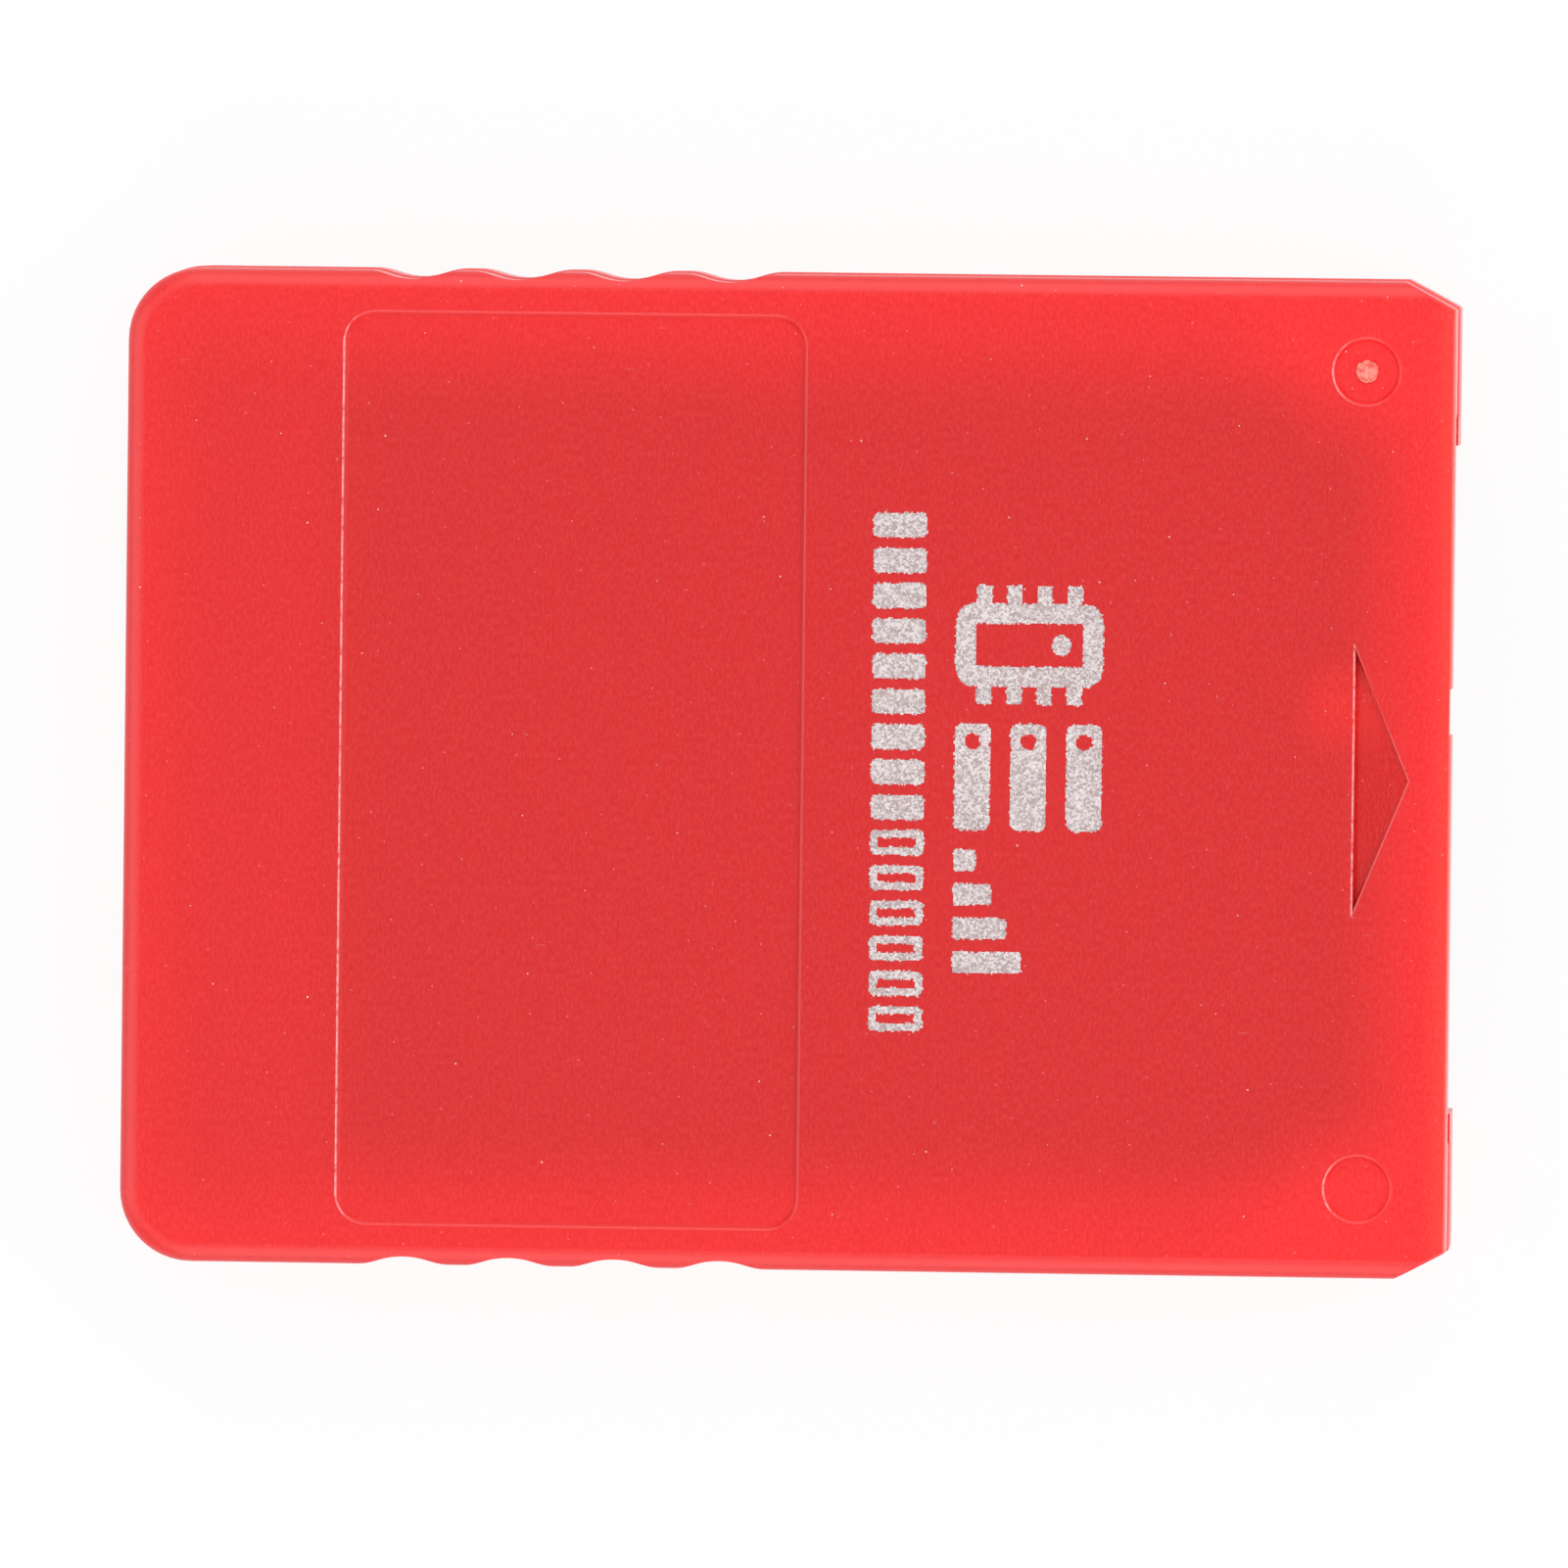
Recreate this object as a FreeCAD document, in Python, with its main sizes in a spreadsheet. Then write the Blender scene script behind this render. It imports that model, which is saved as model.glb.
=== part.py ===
import FreeCAD, Part
import math
import os
import Sketcher

# Memory card for a game console, in millimetres.
# +X points to the end that goes into the console, +Z out of the face with the label recess.
# The origin lies on the back, under the middle of the card.

# Driving dimensions, one cell each
SIZES = {
    # Whole card
    "card_length": 56.0,
    "card_width": 42.0,
    "card_thickness": 7.8,
    "parting_step": 0.08,
    "corner_radius": 3.1,
    "nose_cut_length": 2.15,
    "nose_cut_width": 1.15,
    "edge_radius": 0.8,
    "nose_edge_radius": 0.12,
    # Walls
    "side_wall": 1.8,
    "face_plate": 1.3,
    "floor_plate": 1.3,
    "fit_clearance": 0.1,
    # Finger grips in both long sides
    "grip_pitch": 4.445,
    "grip_depth": 0.36,
    "grip_crest": 0.02,
    "grip_count": 4,
    "grip_setback": 12.1,
    # Label recess
    "label_setback": 9.2,
    "label_length": 19.56,
    "label_margin": 1.75,
    "label_radius": 1.3,
    "label_depth": 0.2,
    "recess_taper": 42.0,
    "recess_bevel": 0.06,
    # Arrow that shows the way in
    "arrow_setback": 1.85,
    "arrow_height": 2.3,
    "arrow_base": 11.2,
    "arrow_depth": 0.5,
    "arrow_tip_depth": 0.14,
    "arrow_draft": 12.0,
    # Dimples over the joining pegs, one with the mark of the moulding gate
    "dimple_setback": 3.79,
    "dimple_shift": 0.99,
    "dimple_diameter": 2.94,
    "dimple_depth": 0.18,
    "gate_diameter": 0.95,
    "gate_rise": 0.12,
    # Joint between the shells
    "parting_drop": 1.1,
    "lip_wall": 0.65,
    "lip_height": 0.8,
    "peg_diameter": 2.4,
    "peg_height": 1.6,
    # Connector mouth
    "mouth_side_margin": 1.5,
    "mouth_rear_margin": 0.9,
    "cheek_wall": 1.2,
    "cross_wall": 1.0,
    "key_width": 1.95,
    "key_relief": 0.08,
    # Circuit board
    "board_thickness": 1.0,
    "board_headroom": 0.5,
    "board_setback": 2.3,
    "board_rear_gap": 9.1,
    "board_side_gap": 2.45,
    "board_bevel": 0.3,
    "tongue_length": 4.2,
    "tongue_overlap": 0.6,
    "ear_length": 2.5,
    "ear_gap": 0.7,
    "key_slot_length": 3.8,
    "notch_length": 3.7,
    "notch_depth": 0.85,
    "post_setback": 1.15,
    "post_notch_radius": 0.75,
    "post_collar": 0.5,
    # Seats under the rear corners of the board
    "seat_wall": 1.2,
    "seat_inset": 1.0,
    "seat_outset": 1.4,
    # Pads of the front shell that hold the board down
    "hold_pad": 1.5,
    # Contacts
    "contact_pitch": 2.9,
    "contact_width": 1.9,
    "contact_length": 3.4,
    "contact_inset": 0.4,
    "contact_thickness": 0.05,
    # Memory chip
    "memory_length": 18.4,
    "memory_thickness": 1.0,
    "memory_pitch": 0.5,
    "memory_leads_per_end": 24,
    "memory_lead_margin": 0.25,
    # Controller chip
    "controller_offset": 5.0,
    "controller_thickness": 1.4,
    "controller_pitch": 0.5,
    "controller_leads_per_side": 12,
    "controller_lead_margin": 0.75,
    # Regulator
    "regulator_offset": 11.5,
    "regulator_width": 1.3,
    "regulator_thickness": 1.0,
    "regulator_pitch": 0.95,
    "regulator_lead_margin": 0.5,
    "regulator_lead_width": 0.4,
    # Leads, and the mark beside a chip's first one
    "chip_standoff": 0.1,
    "lead_width": 0.22,
    "lead_thickness": 0.15,
    "lead_arm": 0.4,
    "lead_reach": 0.9,
    "mark_diameter": 1.0,
    "mark_depth": 0.1,
    "mark_inset": 1.2,
    # Crystal
    "crystal_offset": 6.5,
    "crystal_length": 5.0,
    "crystal_width": 3.2,
    "crystal_thickness": 1.1,
    "crystal_radius": 0.5,
    # Capacitors and resistors
    "row_wall_gap": 1.3,
    "row_gap": 0.3,
    "capacitor_spacing": 6.0,
    "capacitor_length": 2.0,
    "capacitor_width": 1.25,
    "capacitor_thickness": 0.8,
    "resistor_spacing": 2.4,
    "resistor_offset": 4.0,
    "resistor_length": 1.6,
    "resistor_width": 0.8,
    "resistor_thickness": 0.45,
    "end_cap": 0.35,
}

CONTACT_PLACES = (4, 3, 2, 0, -1, -2, -3, -4)
OUTER_PLACE = max(CONTACT_PLACES)
KEY_PLACE = 1
CAPACITOR_COUNT = 4
RESISTOR_COUNT = 4
CHIP_SIDES = 4
FULL_TURN = 360.0
TOLERANCE = 1e-4

# Heights worked out from the cells
FACE = "sizes.card_thickness"
CEILING = f"({FACE} - sizes.face_plate)"
BOARD_TOP = f"({CEILING} - sizes.board_headroom)"
BOARD_LOW = f"({BOARD_TOP} - sizes.board_thickness)"
PARTING = f"({BOARD_LOW} - sizes.parting_drop)"

# Ends and sides of the card and its cavity
NOSE = "(sizes.card_length / 2)"
REAR = "(-sizes.card_length / 2)"
SIDE = "(sizes.card_width / 2)"
CAVITY_REAR = f"({REAR} + sizes.side_wall)"
CAVITY_SIDE = f"({SIDE} - sizes.side_wall)"
CAVITY_RADIUS = "(sizes.corner_radius - sizes.side_wall)"
LIP_REAR = f"({CAVITY_REAR} - sizes.lip_wall)"
LIP_SIDE = f"({CAVITY_SIDE} + sizes.lip_wall)"
LIP_RADIUS = f"({CAVITY_RADIUS} + sizes.lip_wall)"

# Contacts, mouth and key
BOARD_NOSE = f"({NOSE} - sizes.board_setback)"
CONTACT_REAR = f"({BOARD_NOSE} - sizes.contact_inset - sizes.contact_length)"
MOUTH_REAR = f"({CONTACT_REAR} - sizes.mouth_rear_margin)"
MOUTH_SIDE = f"({OUTER_PLACE} * sizes.contact_pitch + sizes.contact_width / 2 + sizes.mouth_side_margin)"
CROSS_REAR = f"({MOUTH_REAR} - sizes.cross_wall)"
CHEEK_SIDE = f"({MOUTH_SIDE} + sizes.cheek_wall)"
KEY_LOW = f"({KEY_PLACE} * sizes.contact_pitch - sizes.key_width / 2)"
KEY_HIGH = f"({KEY_PLACE} * sizes.contact_pitch + sizes.key_width / 2)"
DIMPLE_X = f"({NOSE} - sizes.dimple_setback)"
DIMPLE_Y = f"(({CHEEK_SIDE} + {SIDE}) / 2 - sizes.dimple_shift)"

# Board and its seats
BOARD_REAR = f"({REAR} + sizes.board_rear_gap)"
BOARD_SIDE = f"({CAVITY_SIDE} - sizes.board_side_gap)"
TONGUE_ROOT = f"({BOARD_NOSE} - sizes.tongue_length)"
TONGUE_SIDE = f"({MOUTH_SIDE} + sizes.tongue_overlap)"
EAR_REAR = f"({TONGUE_ROOT} - sizes.ear_length)"
EAR_SIDE = f"({CAVITY_SIDE} - sizes.ear_gap)"
POST_X = f"({EAR_REAR} - sizes.post_setback)"
NOTCH_END = f"({BOARD_REAR} + sizes.notch_length)"
NOTCH_SIDE = f"({BOARD_SIDE} - sizes.notch_depth)"
SEAT_REAR = f"({BOARD_REAR} - sizes.seat_wall)"
SEAT_FRONT = f"({NOTCH_END} - sizes.fit_clearance)"
SEAT_INNER = f"({NOTCH_SIDE} - sizes.seat_inset)"
SEAT_OUTER = f"({BOARD_SIDE} + sizes.seat_outset)"

# Parts on the board, in rows back from the wall behind the mouth
MEMORY_WIDTH = "((sizes.memory_leads_per_end - 1) * sizes.memory_pitch + 2 * sizes.memory_lead_margin)"
CONTROLLER_WIDTH = ("((sizes.controller_leads_per_side - 1) * sizes.controller_pitch"
                    " + 2 * sizes.controller_lead_margin)")
REGULATOR_LENGTH = "(2 * sizes.regulator_pitch + 2 * sizes.regulator_lead_margin)"
CAPACITOR_X = f"({CROSS_REAR} - sizes.row_wall_gap - sizes.capacitor_length / 2)"
RESISTOR_X = f"({CAPACITOR_X} - sizes.capacitor_length / 2 - sizes.row_gap - sizes.resistor_length / 2)"
CONTROLLER_FRONT = f"({RESISTOR_X} - sizes.resistor_length / 2 - sizes.row_gap)"
CONTROLLER_X = f"({CONTROLLER_FRONT} - sizes.lead_reach - {CONTROLLER_WIDTH} / 2)"
CONTROLLER_REAR = f"({CONTROLLER_X} - {CONTROLLER_WIDTH} / 2 - sizes.lead_reach)"
MEMORY_X = f"(({CONTROLLER_REAR} + {BOARD_REAR}) / 2)"

doc = FreeCAD.newDocument("memory_card")
pieces = []


def write_sizes():
    """Put every driving dimension in a cell of its own."""
    sheet = doc.addObject("Spreadsheet::Sheet", "sizes")
    for row, (alias, value) in enumerate(SIZES.items(), start=1):
        sheet.set(f"A{row}", alias)
        sheet.set(f"B{row}", str(value))
        sheet.setAlias(f"B{row}", alias)
    doc.recompute()
    return sheet


sheet = write_sizes()


def value(expression):
    """Work out an expression of the cells as a plain number."""
    return float(sheet.evalExpression(expression))


def minus(expression):
    return f"-({expression})"


# Sketches and features
def origin_feature(body, role):
    return next(feature for feature in body.Origin.OriginFeatures if feature.Role == role)


def new_body(name):
    body = doc.addObject("PartDesign::Body", name)
    body.Label = name
    pieces.append(body)
    return body


def new_sketch(body, name, height="0", plane="XY_Plane"):
    sketch = body.newObject("Sketcher::SketchObject", name)
    sketch.AttachmentSupport = [(origin_feature(body, plane), "")]
    sketch.MapMode = "FlatFace"
    sketch.setExpression("AttachmentOffset.Base.z", height)
    return sketch


def bind(sketch, constraint, name, expression):
    """Add a constraint and tie its datum to the cells."""
    index = sketch.addConstraint(constraint)
    sketch.renameConstraint(index, name)
    sketch.setExpression(f"Constraints.{name}", expression)


def bind_point(sketch, geometry, position, x, y):
    tag = f"{geometry}_{position}"
    bind(sketch, Sketcher.Constraint("DistanceX", -1, 1, geometry, position, value(x)), f"x_{tag}", x)
    bind(sketch, Sketcher.Constraint("DistanceY", -1, 1, geometry, position, value(y)), f"y_{tag}", y)


def arc_between(start, end, radius, turn):
    """Short arc from start to end; turn is 1 where it bears left and -1 where it bears right."""
    chord = end - start
    rise = math.sqrt(max(radius ** 2 - chord.Length ** 2 / 4, 0.0))
    left = FreeCAD.Vector(-chord.y, chord.x, 0).normalize()
    centre = (start + end) * 0.5 + left * (rise * turn)
    first, last = (start, end) if turn > 0 else (end, start)
    angles = [math.atan2(point.y - centre.y, point.x - centre.x) for point in (first, last)]
    if angles[1] < angles[0]:
        angles[1] += 2 * math.pi
    return Part.ArcOfCircle(Part.Circle(centre, FreeCAD.Vector(0, 0, 1), radius), *angles)


def outline(sketch, corners):
    """Closed outline. A corner is (x, y), or (x, y, radius, turn) where an arc leaves it."""
    points = [FreeCAD.Vector(value(corner[0]), value(corner[1]), 0) for corner in corners]
    base = sketch.GeometryCount
    count = len(corners)
    starts = []
    for n, corner in enumerate(corners):
        here = points[n]
        after = points[(n + 1) % count]
        turn = corner[3] if len(corner) > 2 else 1
        if len(corner) > 2:
            sketch.addGeometry(arc_between(here, after, value(corner[2]), turn), False)
        else:
            sketch.addGeometry(Part.LineSegment(here, after), False)
        starts.append(1 if turn > 0 else 2)
    for n in range(count):
        after = (n + 1) % count
        end = 3 - starts[n]
        sketch.addConstraint(Sketcher.Constraint("Coincident", base + n, end, base + after, starts[after]))
    for n, corner in enumerate(corners):
        bind_point(sketch, base + n, starts[n], corner[0], corner[1])
        if len(corner) > 2:
            radius = Sketcher.Constraint("Radius", base + n, value(corner[2]))
            bind(sketch, radius, f"radius_{base + n}", corner[2])


def rectangle(sketch, left, right, low, high):
    outline(sketch, [(left, low), (right, low), (right, high), (left, high)])


def mirrored_rectangles(sketch, left, right, inner, outer):
    """The same rectangle on both sides of the card's middle line."""
    rectangle(sketch, left, right, inner, outer)
    rectangle(sketch, left, right, minus(outer), minus(inner))


def circle(sketch, x, y, radius):
    place = FreeCAD.Vector(value(x), value(y), 0)
    index = sketch.addGeometry(Part.Circle(place, FreeCAD.Vector(0, 0, 1), value(radius)), False)
    bind_point(sketch, index, 3, x, y)
    bind(sketch, Sketcher.Constraint("Radius", index, value(radius)), f"radius_{index}", radius)


def mirrored_circles(sketch, x, y, radius):
    circle(sketch, x, y, radius)
    circle(sketch, x, minus(y), radius)


def pad(body, name, sketch, length):
    feature = body.newObject("PartDesign::Pad", name)
    feature.Profile = sketch
    feature.setExpression("Length", length)
    return feature


def pocket(body, name, sketch, depth, upward=False, taper=None):
    """Cut down from the sketch, or up from it."""
    feature = body.newObject("PartDesign::Pocket", name)
    feature.Profile = sketch
    feature.Reversed = upward
    feature.setExpression("Length", depth)
    if taper:
        feature.setExpression("TaperAngle", taper)
    return feature


def dress(body, kind, name, size, wanted):
    """Fillet or chamfer the edges of the body's last feature for which wanted is true."""
    doc.recompute()
    base = body.Tip
    names = [f"Edge{n}" for n, edge in enumerate(base.Shape.Edges, start=1) if wanted(edge)]
    feature = body.newObject(f"PartDesign::{kind}", name)
    feature.Base = (base, names)
    feature.setExpression("Radius" if kind == "Fillet" else "Size", size)
    doc.recompute()


def fillet(body, name, radius, wanted):
    dress(body, "Fillet", name, radius, wanted)


def lies_at(edge, height):
    box = edge.BoundBox
    return abs(box.ZMin - height) < TOLERANCE and abs(box.ZMax - height) < TOLERANCE


# Forms that both shells share
def shell_outline(sketch, step):
    """Rectangle with round rear corners, drawn in by step."""
    nose = f"{NOSE} - {step}"
    rear = f"{REAR} + {step}"
    side = f"{SIDE} - {step}"
    radius = f"sizes.corner_radius - {step}"
    rear_rounded_rectangle(sketch, rear, nose, side, radius)


def rear_rounded_rectangle(sketch, rear, front, side, radius):
    outline(sketch, [
        (f"{rear} + {radius}", minus(side)),
        (front, minus(side)),
        (front, side),
        (f"{rear} + {radius}", side, radius, 1),
        (rear, f"{side} - ({radius})"),
        (rear, f"-({side}) + {radius}", radius, 1),
    ])


def cut_nose_corners(body, height, depth, step):
    """Slant the two corners of the nose."""
    sketch = new_sketch(body, f"{body.Name}_nose_corner_outline", height)
    nose = f"{NOSE} - {step}"
    side = f"{SIDE} - {step}"
    over_nose = f"{nose} + sizes.nose_cut_length"
    over_side = f"{side} + sizes.nose_cut_width"
    behind = f"{nose} - 2 * sizes.nose_cut_length"
    inside = f"{side} - 2 * sizes.nose_cut_width"
    outline(sketch, [(behind, over_side), (over_nose, inside), (over_nose, over_side)])
    outline(sketch, [(behind, minus(over_side)), (over_nose, minus(over_side)), (over_nose, minus(inside))])
    pocket(body, f"{body.Name}_nose_corners", sketch, depth, upward=True)


def round_nose(body):
    """Round the nose and its slanted corners, but not where the shells meet."""
    doc.recompute()
    parting = value(PARTING)
    slope = 0.3
    nose_edges = []
    for face in body.Tip.Shape.Faces:
        flat = isinstance(face.Surface, Part.Plane)
        if flat and face.normalAt(0, 0).x > slope:
            nose_edges += [edge for edge in face.Edges if not lies_at(edge, parting)]
    fillet(body, f"{body.Name}_nose_edges", "sizes.nose_edge_radius",
           lambda edge: any(edge.isSame(other) for other in nose_edges))


def cut_grips(body, height, depth, step):
    """Wave of finger grips in both long sides: one wave drawn, then repeated along the card."""
    sketch = new_sketch(body, f"{body.Name}_grip_outline", height)
    swing = "(sizes.grip_depth + sizes.grip_crest)"
    radius = f"((sizes.grip_pitch / 4) ^ 2 + ({swing} / 2) ^ 2) / {swing}"
    middle = f"{REAR} + sizes.grip_setback"
    crest = f"{SIDE} - {step} + sizes.grip_crest"
    slope = f"{crest} - {swing} / 2"
    outside = f"{crest} + sizes.grip_depth"
    start = f"{middle} - sizes.grip_pitch / 2"
    down = f"{middle} - sizes.grip_pitch / 4"
    up = f"{middle} + sizes.grip_pitch / 4"
    end = f"{middle} + sizes.grip_pitch / 2"
    outline(sketch, [
        (start, crest, radius, -1), (down, slope, radius, 1), (up, slope, radius, -1),
        (end, crest), (end, outside), (start, outside),
    ])
    outline(sketch, [
        (start, minus(crest), radius, 1), (down, minus(slope), radius, -1), (up, minus(slope), radius, 1),
        (end, minus(crest)), (end, minus(outside)), (start, minus(outside)),
    ])
    wave = pocket(body, f"{body.Name}_grip", sketch, depth, upward=True)
    pattern = body.newObject("PartDesign::LinearPattern", f"{body.Name}_grips")
    pattern.Originals = [wave]
    pattern.Direction = (origin_feature(body, "X_Axis"), [""])
    pattern.Mode = "Spacing"
    pattern.setExpression("Offset", "sizes.grip_pitch")
    pattern.setExpression("Occurrences", "sizes.grip_count")
    body.Tip = pattern


# Front shell
def make_front_shell():
    body = new_body("front_shell")
    step = "sizes.parting_step"
    rise = f"{FACE} - {PARTING}"

    sketch = new_sketch(body, "front_outline", PARTING)
    shell_outline(sketch, step)
    pad(body, "front_block", sketch, rise)
    nose = value(f"{NOSE} - {step}")
    face = value(FACE)
    fillet(body, "front_edges", "sizes.edge_radius",
           lambda edge: lies_at(edge, face) and edge.BoundBox.XMin < nose - TOLERANCE)
    cut_nose_corners(body, PARTING, FACE, step)
    round_nose(body)
    cut_grips(body, PARTING, FACE, step)
    hollow_front_shell(body)
    hold_board_down(body)
    sink_face_marks(body)


def hollow_front_shell(body):
    """Cavity over the board, mouth, keyway, groove for the lip and sockets for the pegs."""
    clearance = "sizes.fit_clearance"
    wall_rear = f"{BOARD_NOSE} + {clearance}"
    ear_front = f"{TONGUE_ROOT} + {clearance}"
    cheek = f"{CHEEK_SIDE} + {clearance}"
    beyond = f"{NOSE} + {clearance}"

    sketch = new_sketch(body, "front_cavity_outline", PARTING)
    outline(sketch, [
        (f"{CAVITY_REAR} + {CAVITY_RADIUS}", minus(CAVITY_SIDE)),
        (ear_front, minus(CAVITY_SIDE)),
        (ear_front, minus(cheek)),
        (wall_rear, minus(cheek)),
        (wall_rear, cheek),
        (ear_front, cheek),
        (ear_front, CAVITY_SIDE),
        (f"{CAVITY_REAR} + {CAVITY_RADIUS}", CAVITY_SIDE, CAVITY_RADIUS, 1),
        (CAVITY_REAR, f"{CAVITY_SIDE} - ({CAVITY_RADIUS})"),
        (CAVITY_REAR, f"-({CAVITY_SIDE}) + {CAVITY_RADIUS}", CAVITY_RADIUS, 1),
    ])
    pocket(body, "front_cavity", sketch, f"{CEILING} - {PARTING}", upward=True)

    sketch = new_sketch(body, "front_mouth_outline", PARTING)
    rectangle(sketch, ear_front, beyond, minus(cheek), cheek)
    pocket(body, "front_mouth", sketch, f"{BOARD_LOW} + {clearance} - {PARTING}", upward=True)

    sketch = new_sketch(body, "front_keyway_outline", PARTING)
    rectangle(sketch, ear_front, beyond, KEY_LOW, KEY_HIGH)
    pocket(body, "front_keyway", sketch, f"{CEILING} - {PARTING}", upward=True)

    sketch = new_sketch(body, "front_key_relief_outline", PARTING)
    relief = f"{NOSE} - sizes.parting_step - sizes.key_relief"
    rectangle(sketch, relief, beyond, KEY_LOW, KEY_HIGH)
    pocket(body, "front_key_relief", sketch, FACE, upward=True)

    sketch = new_sketch(body, "front_groove_outline", PARTING)
    rear_rounded_rectangle(sketch, f"{LIP_REAR} - {clearance}", ear_front,
                           f"{LIP_SIDE} + {clearance}", f"{LIP_RADIUS} + {clearance}")
    pocket(body, "front_groove", sketch, f"sizes.lip_height + {clearance}", upward=True)

    sketch = new_sketch(body, "front_socket_outline", PARTING)
    mirrored_circles(sketch, DIMPLE_X, DIMPLE_Y, f"sizes.peg_diameter / 2 + {clearance} / 2")
    pocket(body, "front_sockets", sketch, f"sizes.peg_height + {clearance}", upward=True)


def hold_board_down(body):
    """Pads under the face plate, over the ears and the rear corners of the board."""
    sketch = new_sketch(body, "hold_pad_outline", BOARD_TOP)
    mirrored_rectangles(sketch, EAR_REAR, TONGUE_ROOT, f"{EAR_SIDE} - sizes.hold_pad", EAR_SIDE)
    mirrored_rectangles(sketch, NOTCH_END, f"{NOTCH_END} + sizes.hold_pad",
                        f"{BOARD_SIDE} - sizes.hold_pad", BOARD_SIDE)
    pad(body, "hold_pads", sketch, f"{CEILING} - ({BOARD_TOP})")


def face_rims(body):
    """Edges of the openings in the card's face."""
    doc.recompute()
    face = max(body.Tip.Shape.Faces, key=lambda side: side.CenterOfMass.z)
    openings = [wire for wire in face.Wires if not wire.isSame(face.OuterWire)]
    return [edge for wire in openings for edge in wire.Edges]


def sink_face_marks(body):
    """Label recess, arrow and dimples in the face, and the gate's mark in one dimple."""
    taper = "-sizes.recess_taper"
    bevel = "sizes.recess_bevel"
    rear = f"{REAR} + sizes.label_setback + {bevel}"
    front = f"{rear} + sizes.label_length - 2 * {bevel}"
    side = f"{SIDE} - sizes.label_margin - {bevel}"
    radius = "sizes.label_radius"
    sketch = new_sketch(body, "label_outline", FACE)
    outline(sketch, [
        (f"{rear} + {radius}", minus(side)),
        (f"{front} - {radius}", minus(side), radius, 1),
        (front, f"-({side}) + {radius}"),
        (front, f"{side} - {radius}", radius, 1),
        (f"{front} - {radius}", side),
        (f"{rear} + {radius}", side, radius, 1),
        (rear, f"{side} - {radius}"),
        (rear, f"-({side}) + {radius}", radius, 1),
    ])
    pocket(body, "label_recess", sketch, "sizes.label_depth", taper=taper)

    sketch = new_sketch(body, "dimple_outline", FACE)
    mirrored_circles(sketch, DIMPLE_X, DIMPLE_Y, f"sizes.dimple_diameter / 2 - {bevel}")
    pocket(body, "dimples", sketch, "sizes.dimple_depth", taper=taper)

    sketch = new_sketch(body, "arrow_outline", FACE)
    tip = f"{NOSE} - sizes.arrow_setback"
    base = f"{tip} - sizes.arrow_height"
    outline(sketch, [(tip, "0"), (base, "sizes.arrow_base / 2"), (base, "-sizes.arrow_base / 2")])
    pocket(body, "arrow", sketch, "sizes.arrow_depth", taper="-sizes.arrow_draft")

    rims = face_rims(body)
    dress(body, "Chamfer", "recess_bevels", bevel,
          lambda edge: any(edge.isSame(rim) for rim in rims))

    sketch = new_sketch(body, "arrow_ramp_outline", plane="XZ_Plane")
    floor = f"{FACE} - sizes.arrow_depth"
    outline(sketch, [(base, floor), (tip, floor), (tip, f"{FACE} - sizes.arrow_tip_depth")])
    ramp = pad(body, "arrow_ramp", sketch, "sizes.arrow_base")
    ramp.Midplane = True

    sketch = new_sketch(body, "gate_outline", f"{FACE} - sizes.dimple_depth")
    circle(sketch, DIMPLE_X, DIMPLE_Y, "sizes.gate_diameter / 2")
    pad(body, "gate_mark", sketch, "sizes.gate_rise")


# Rear shell
def make_rear_shell():
    body = new_body("rear_shell")

    sketch = new_sketch(body, "rear_outline")
    shell_outline(sketch, "0")
    pad(body, "rear_block", sketch, PARTING)
    nose = value(NOSE)
    fillet(body, "rear_edges", "sizes.edge_radius",
           lambda edge: lies_at(edge, 0.0) and edge.BoundBox.XMin < nose - TOLERANCE)
    cut_nose_corners(body, "0", FACE, "0")
    round_nose(body)
    cut_grips(body, "0", FACE, "0")
    hollow_rear_shell(body)
    raise_shell_joint(body)
    raise_board_seats(body)


def hollow_rear_shell(body):
    sketch = new_sketch(body, "rear_cavity_outline", PARTING)
    rear_rounded_rectangle(sketch, CAVITY_REAR, CROSS_REAR, CAVITY_SIDE, CAVITY_RADIUS)
    pocket(body, "rear_cavity", sketch, f"{PARTING} - sizes.floor_plate")

    sketch = new_sketch(body, "rear_mouth_outline")
    rectangle(sketch, MOUTH_REAR, f"{NOSE} + sizes.fit_clearance", minus(MOUTH_SIDE), MOUTH_SIDE)
    pocket(body, "rear_mouth", sketch, FACE, upward=True)


def raise_shell_joint(body):
    """Lip along the sides and rear end, and the two pegs."""
    lip_front = CROSS_REAR
    sketch = new_sketch(body, "lip_outline", PARTING)
    outline(sketch, [
        (f"{LIP_REAR} + {LIP_RADIUS}", minus(LIP_SIDE)),
        (lip_front, minus(LIP_SIDE)),
        (lip_front, minus(CAVITY_SIDE)),
        (f"{CAVITY_REAR} + {CAVITY_RADIUS}", minus(CAVITY_SIDE), CAVITY_RADIUS, -1),
        (CAVITY_REAR, f"-({CAVITY_SIDE}) + {CAVITY_RADIUS}"),
        (CAVITY_REAR, f"{CAVITY_SIDE} - ({CAVITY_RADIUS})", CAVITY_RADIUS, -1),
        (f"{CAVITY_REAR} + {CAVITY_RADIUS}", CAVITY_SIDE),
        (lip_front, CAVITY_SIDE),
        (lip_front, LIP_SIDE),
        (f"{LIP_REAR} + {LIP_RADIUS}", LIP_SIDE, LIP_RADIUS, 1),
        (LIP_REAR, f"{LIP_SIDE} - ({LIP_RADIUS})"),
        (LIP_REAR, f"-({LIP_SIDE}) + {LIP_RADIUS}", LIP_RADIUS, 1),
    ])
    pad(body, "lip", sketch, "sizes.lip_height")

    sketch = new_sketch(body, "peg_outline", PARTING)
    mirrored_circles(sketch, DIMPLE_X, DIMPLE_Y, "sizes.peg_diameter / 2")
    pad(body, "pegs", sketch, "sizes.peg_height")


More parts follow.
